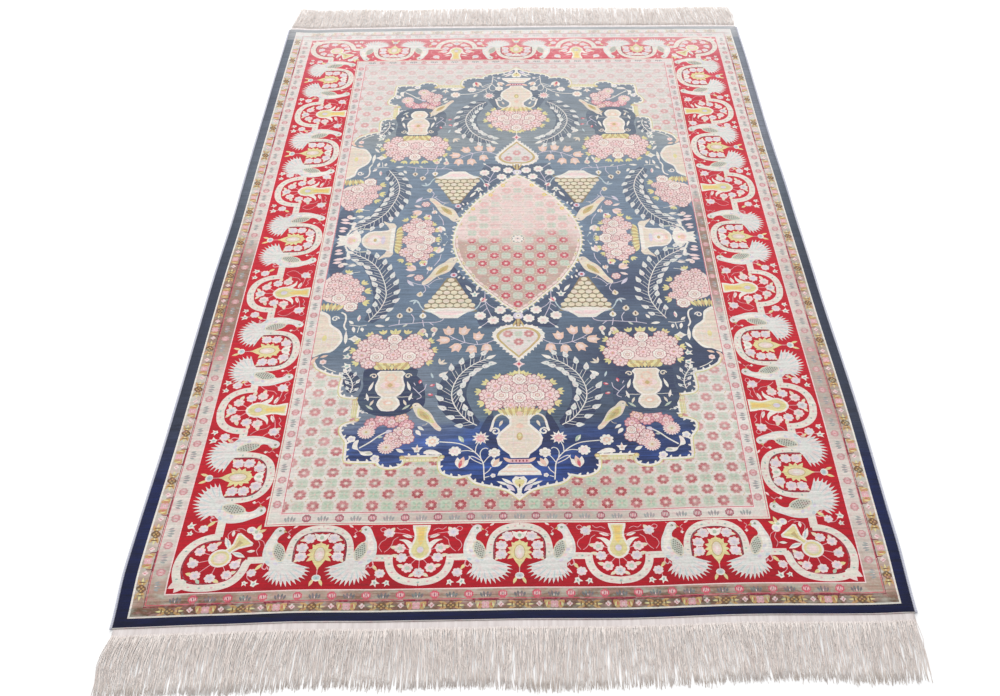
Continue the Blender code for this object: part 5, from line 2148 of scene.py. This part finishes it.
def strands(name, direction, reach, halfway, tips, material, rng):
    """All the loose strands of one end, as thin three-sided tubes."""
    coords = []
    total = 0
    for count, radius, lift, stray_by in STRAND_ROWS:
        share = (np.arange(count) + 0.5) / count
        share = np.clip(share + rng.normal(0.0, 0.22, count) / count, 0.0, 1.0)
        left, right = end_span(direction, STRAND_INSET)
        x0 = left + share * (right - left)
        root = end_y(direction, x0, SEAM_GAP + STRAND_START)
        length = reach - STRAND_START + wave_sum(REACH_WAVES, share)
        length += rng.normal(0.0, 0.0022, count) - 0.006 * rng.random(count) ** 3
        lean = rng.normal(0.0, 0.0016, count) * (1.0 + stray_by)
        curl_size = rng.normal(0.0, 0.0010, count) * (1.0 + stray_by)
        curl_turns = rng.uniform(0.6, 1.6, count)
        curl_start = rng.uniform(0.0, 2.0 * np.pi, count)
        high = 0.0006 + lift * rng.random(count)
        depth = np.linspace(0.0, 1.0, STRAND_STEPS + 1)[:, None]
        side = 2.0 * share - 1.0
        corner = np.abs(side) ** 3
        pull_half = np.where(side < 0, halfway[0], halfway[1])
        pull_tip = np.where(side < 0, tips[0], tips[1])
        bend = np.where(depth < 0.5, pull_half * np.sin(np.pi * depth),
                        pull_half + (pull_tip - pull_half) * (2.0 * depth - 1.0))
        x = x0 + corner * bend + wave_sum(SWEEP_WAVES, share) * np.sin(0.5 * np.pi * depth)
        x = x + lean * depth ** 1.5
        x = x + curl_size * (np.sin(2.0 * np.pi * curl_turns * depth + curl_start)
                             - np.sin(curl_start))
        y = root + direction * length * (depth - 0.02)
        z = high * np.sin(np.pi * np.clip(0.15 + 0.95 * depth, 0.0, 1.0)) + 0.0007
        z = np.maximum(z, 0.00055)
        thick = radius * (1.0 - 0.35 * depth ** 2) * np.ones(count)
        for a in (90.0, 210.0, 330.0):
            c, s = math.cos(math.radians(a)), math.sin(math.radians(a))
            coords.append((total, np.stack([x + thick * c, y, z + thick * s], 2)))
        total += count
    parts = []
    for k in range(0, len(coords), 3):
        ring = np.stack([coords[k][1], coords[k + 1][1], coords[k + 2][1]], 2)
        parts.append(ring.transpose(1, 0, 2, 3).reshape(-1, 3))
    return link(name, np.concatenate(parts), tube_faces(total, STRAND_STEPS + 1, 3), material)


def kilim_strip(name, direction, material):
    """The narrow woven band between the pile and the strands."""
    xs = np.linspace(*end_span(direction, STRIP_INSET), 260)
    section = ((0.0, 0.10), (0.0, 0.86), (0.06, 1.0), (0.30, 1.0), (0.62, 0.96), (0.90, 0.84),
               (1.0, 0.50), (1.0, 0.10))
    wobble = 0.00035 * np.sin(xs * 61.0) + 0.00025 * np.sin(xs * 140.0 + 1.0)
    rows = []
    for out, up in section:
        y = end_y(direction, xs, SEAM_GAP + out * STRIP_WIDTH) + direction * wobble * out
        z = np.full_like(xs, up * (STRIP_THICK + 0.0006 * (1.0 - out)))
        rows.append(np.stack([xs, y, z], 1))
    grid = np.stack(rows, 1).reshape(-1, 3)
    n = len(section)
    faces = []
    for i in range(len(xs) - 1):
        for j in range(n):
            k = (j + 1) % n
            quad = [i * n + j, i * n + k, (i + 1) * n + k, (i + 1) * n + j]
            faces.append(quad if direction > 0 else quad[::-1])
    caps = [list(range(n)), [(len(xs) - 1) * n + j for j in range(n)]]
    faces += [caps[0][::-1], caps[1]] if direction > 0 else [caps[0], caps[1][::-1]]
    return link(name, grid, faces, material)


def overcast_cord(name, side, material):
    """The wrapped cord along a long edge."""
    half = 0.5 * CLOTH_LENGTH - CORD_INSET
    ys = np.linspace(-half, half, 1100)
    radius = CORD_RADIUS * (1.0 + 0.07 * np.sin(2.0 * np.pi * ys / 0.0031)
                            + 0.05 * np.sin(ys * 47.0))
    x = side_x(side, ys) + side * (SEAM_GAP + CORD_RADIUS)
    a = arc_angles(CORD_SIDES, 0.4)
    ring_x = x[:, None] + radius[:, None] * np.cos(a)
    ring_z = CORD_RADIUS * 1.02 + radius[:, None] * np.sin(a) * 0.96
    ring_y = np.repeat(ys[:, None], CORD_SIDES, 1)
    coords = np.stack([ring_x, ring_y, ring_z], 2).reshape(-1, 3)
    return link(name, coords, tube_faces(1, len(ys), CORD_SIDES), material)


# ---- Making the rug ----------------------------------------------------------------------

rng = np.random.default_rng(SEED)
# Pile and back both get painted sheen towards the far edge, the back half as much.
pile = pile_material("silk_pile", knot=0.0011, painted_sheen=1.0)
back = pile_material("woven_back", knot=0.0014, painted_sheen=0.5)
ends = cotton_material("fringe_ends", (250, 243, 238), (226, 212, 205), pitch=900.0, tan=0.7)
weave = cotton_material("kilim_weave", (228, 219, 217), (208, 197, 194), pitch=300.0)
edging = cord_material("overcast_edge")

field = field_motifs()
border = border_motifs()


def rug_piece(obj, material):
    """The piece with its material, on the rug's one body and in its slot."""
    obj.data.materials.clear()
    obj.data.materials.append(material)
    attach(obj, "root")
    return obj


for name, box in (("field_front_left", (-FIELD_X, -FIELD_Y, 0.0, 0.0)),
                  ("field_front_right", (0.0, -FIELD_Y, FIELD_X, 0.0)),
                  ("field_back_left", (-FIELD_X, 0.0, 0.0, FIELD_Y)),
                  ("field_back_right", (0.0, 0.0, FIELD_X, FIELD_Y))):
    cut = arrange("sage", densified(box), field)
    rug_piece(slab(name, *cut), pile)

for name, box in (("border_front", (-RUG_X, -RUG_Y, RUG_X, -FIELD_Y)),
                  ("border_back", (-RUG_X, FIELD_Y, RUG_X, RUG_Y)),
                  ("border_left", (-RUG_X, -FIELD_Y, -FIELD_X, FIELD_Y)),
                  ("border_right", (FIELD_X, -FIELD_Y, RUG_X, FIELD_Y))):
    cut = arrange("selvage", densified(box), border)
    rug_piece(slab(name, *cut), pile)


# The back is drawn more loosely, in millimetres: the smallest outline kept (square
# millimetres), the points along the field's edge, and the grid of points on plain ground.
LEAST_BEHIND = 100.0
EDGE_BEHIND = 20.0
GRID_BEHIND = 60.0


def plain_enough(motif):
    """The outlines that still show on the back, where the finest points close up."""
    return [(yarn, line) for yarn, line in motif
            if abs(signed_area(np.asarray(line))) > LEAST_BEHIND]


inside = (-FIELD_X, -FIELD_Y, FIELD_X, FIELD_Y)
whole = (-RUG_X, -RUG_Y, RUG_X, RUG_Y)
behind = border[:len(BANDS)] + [("sage", densified(inside, EDGE_BEHIND))]
behind += plain_enough(field) + plain_enough(border[len(BANDS):])
cut = arrange("selvage", densified(whole), behind, GRID_BEHIND)
ground = rug_piece(slab("foundation", *cut, False), back)
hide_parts("cloth")

for name, direction, reach, halfway, tips in ENDS:
    strip = kilim_strip("kilim_" + name, direction, weave)
    loose = strands("strands_" + name, direction, reach, halfway, tips, ends, rng)
    rug_piece(strip, weave)
    rug_piece(loose, ends)
    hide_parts("fringe_" + name)

for name, side in (("left", -1.0), ("right", 1.0)):
    cord = overcast_cord("overcast_" + name, side, edging)
    rug_piece(cord, edging)
    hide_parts("side_cord_" + name)


# ---- Floor, light and camera -------------------------------------------------------------

CAMERA_PLACE = (0.0166, -1.4575, 1.1891)
CAMERA_TILT = 45.48                  # degrees up from looking straight down
CAMERA_YAW = -2.006
CAMERA_ROLL = 0.59
CAMERA_LENS = 38.56                  # millimetres, on a sensor 36 mm wide
CAMERA_SHIFT = (-0.0533, -0.0076)
FLOOR_Z = -0.0003                    # just under the rug


def turn_matrix(axis, degrees):
    return Matrix.Rotation(math.radians(degrees), 4, axis)


def area_light(name, place, aim, size, watts, colour=(1.0, 1.0, 1.0)):
    data = bpy.data.lights.new(name, "AREA")
    data.shape = "RECTANGLE"
    data.size, data.size_y = size
    data.energy = watts
    data.color = colour
    obj = bpy.data.objects.new(name, data)
    obj.location = place
    obj.rotation_euler = (Vector(aim) - Vector(place)).to_track_quat("-Z", "Y").to_euler()
    bpy.context.scene.collection.objects.link(obj)


floor_corners = [(x, y, FLOOR_Z) for x, y in ((-9, -7), (9, -7), (9, 14), (-9, 14))]
floor = link("studio_floor", floor_corners, [[0, 1, 2, 3]], floor_material(), False)

camera_data = bpy.data.cameras.new("camera")
camera_data.lens = CAMERA_LENS
camera_data.sensor_width = 36.0
camera_data.shift_x, camera_data.shift_y = CAMERA_SHIFT
camera_data.clip_start = 0.02
camera = bpy.data.objects.new("camera", camera_data)
camera.matrix_world = (Matrix.Translation(CAMERA_PLACE) @ turn_matrix("Z", CAMERA_YAW)
                       @ turn_matrix("X", CAMERA_TILT) @ turn_matrix("Z", CAMERA_ROLL))
bpy.context.scene.collection.objects.link(camera)
bpy.context.scene.camera = camera

world = bpy.data.worlds.new("studio")
world.use_nodes = True
background = world.node_tree.nodes["Background"]
background.inputs["Color"].default_value = (0.98, 0.99, 1.0, 1.0)
background.inputs["Strength"].default_value = 0.64
bpy.context.scene.world = world
area_light("window", (0.6, 4.2, 2.6), (0.0, 0.2, 0.0), (3.6, 2.2), 118.0, (0.97, 0.99, 1.0))
area_light("overhead", (-0.8, 0.4, 3.4), (0.0, 0.0, 0.0), (2.6, 2.6), 56.0)
bpy.context.scene.view_settings.view_transform = "Standard"
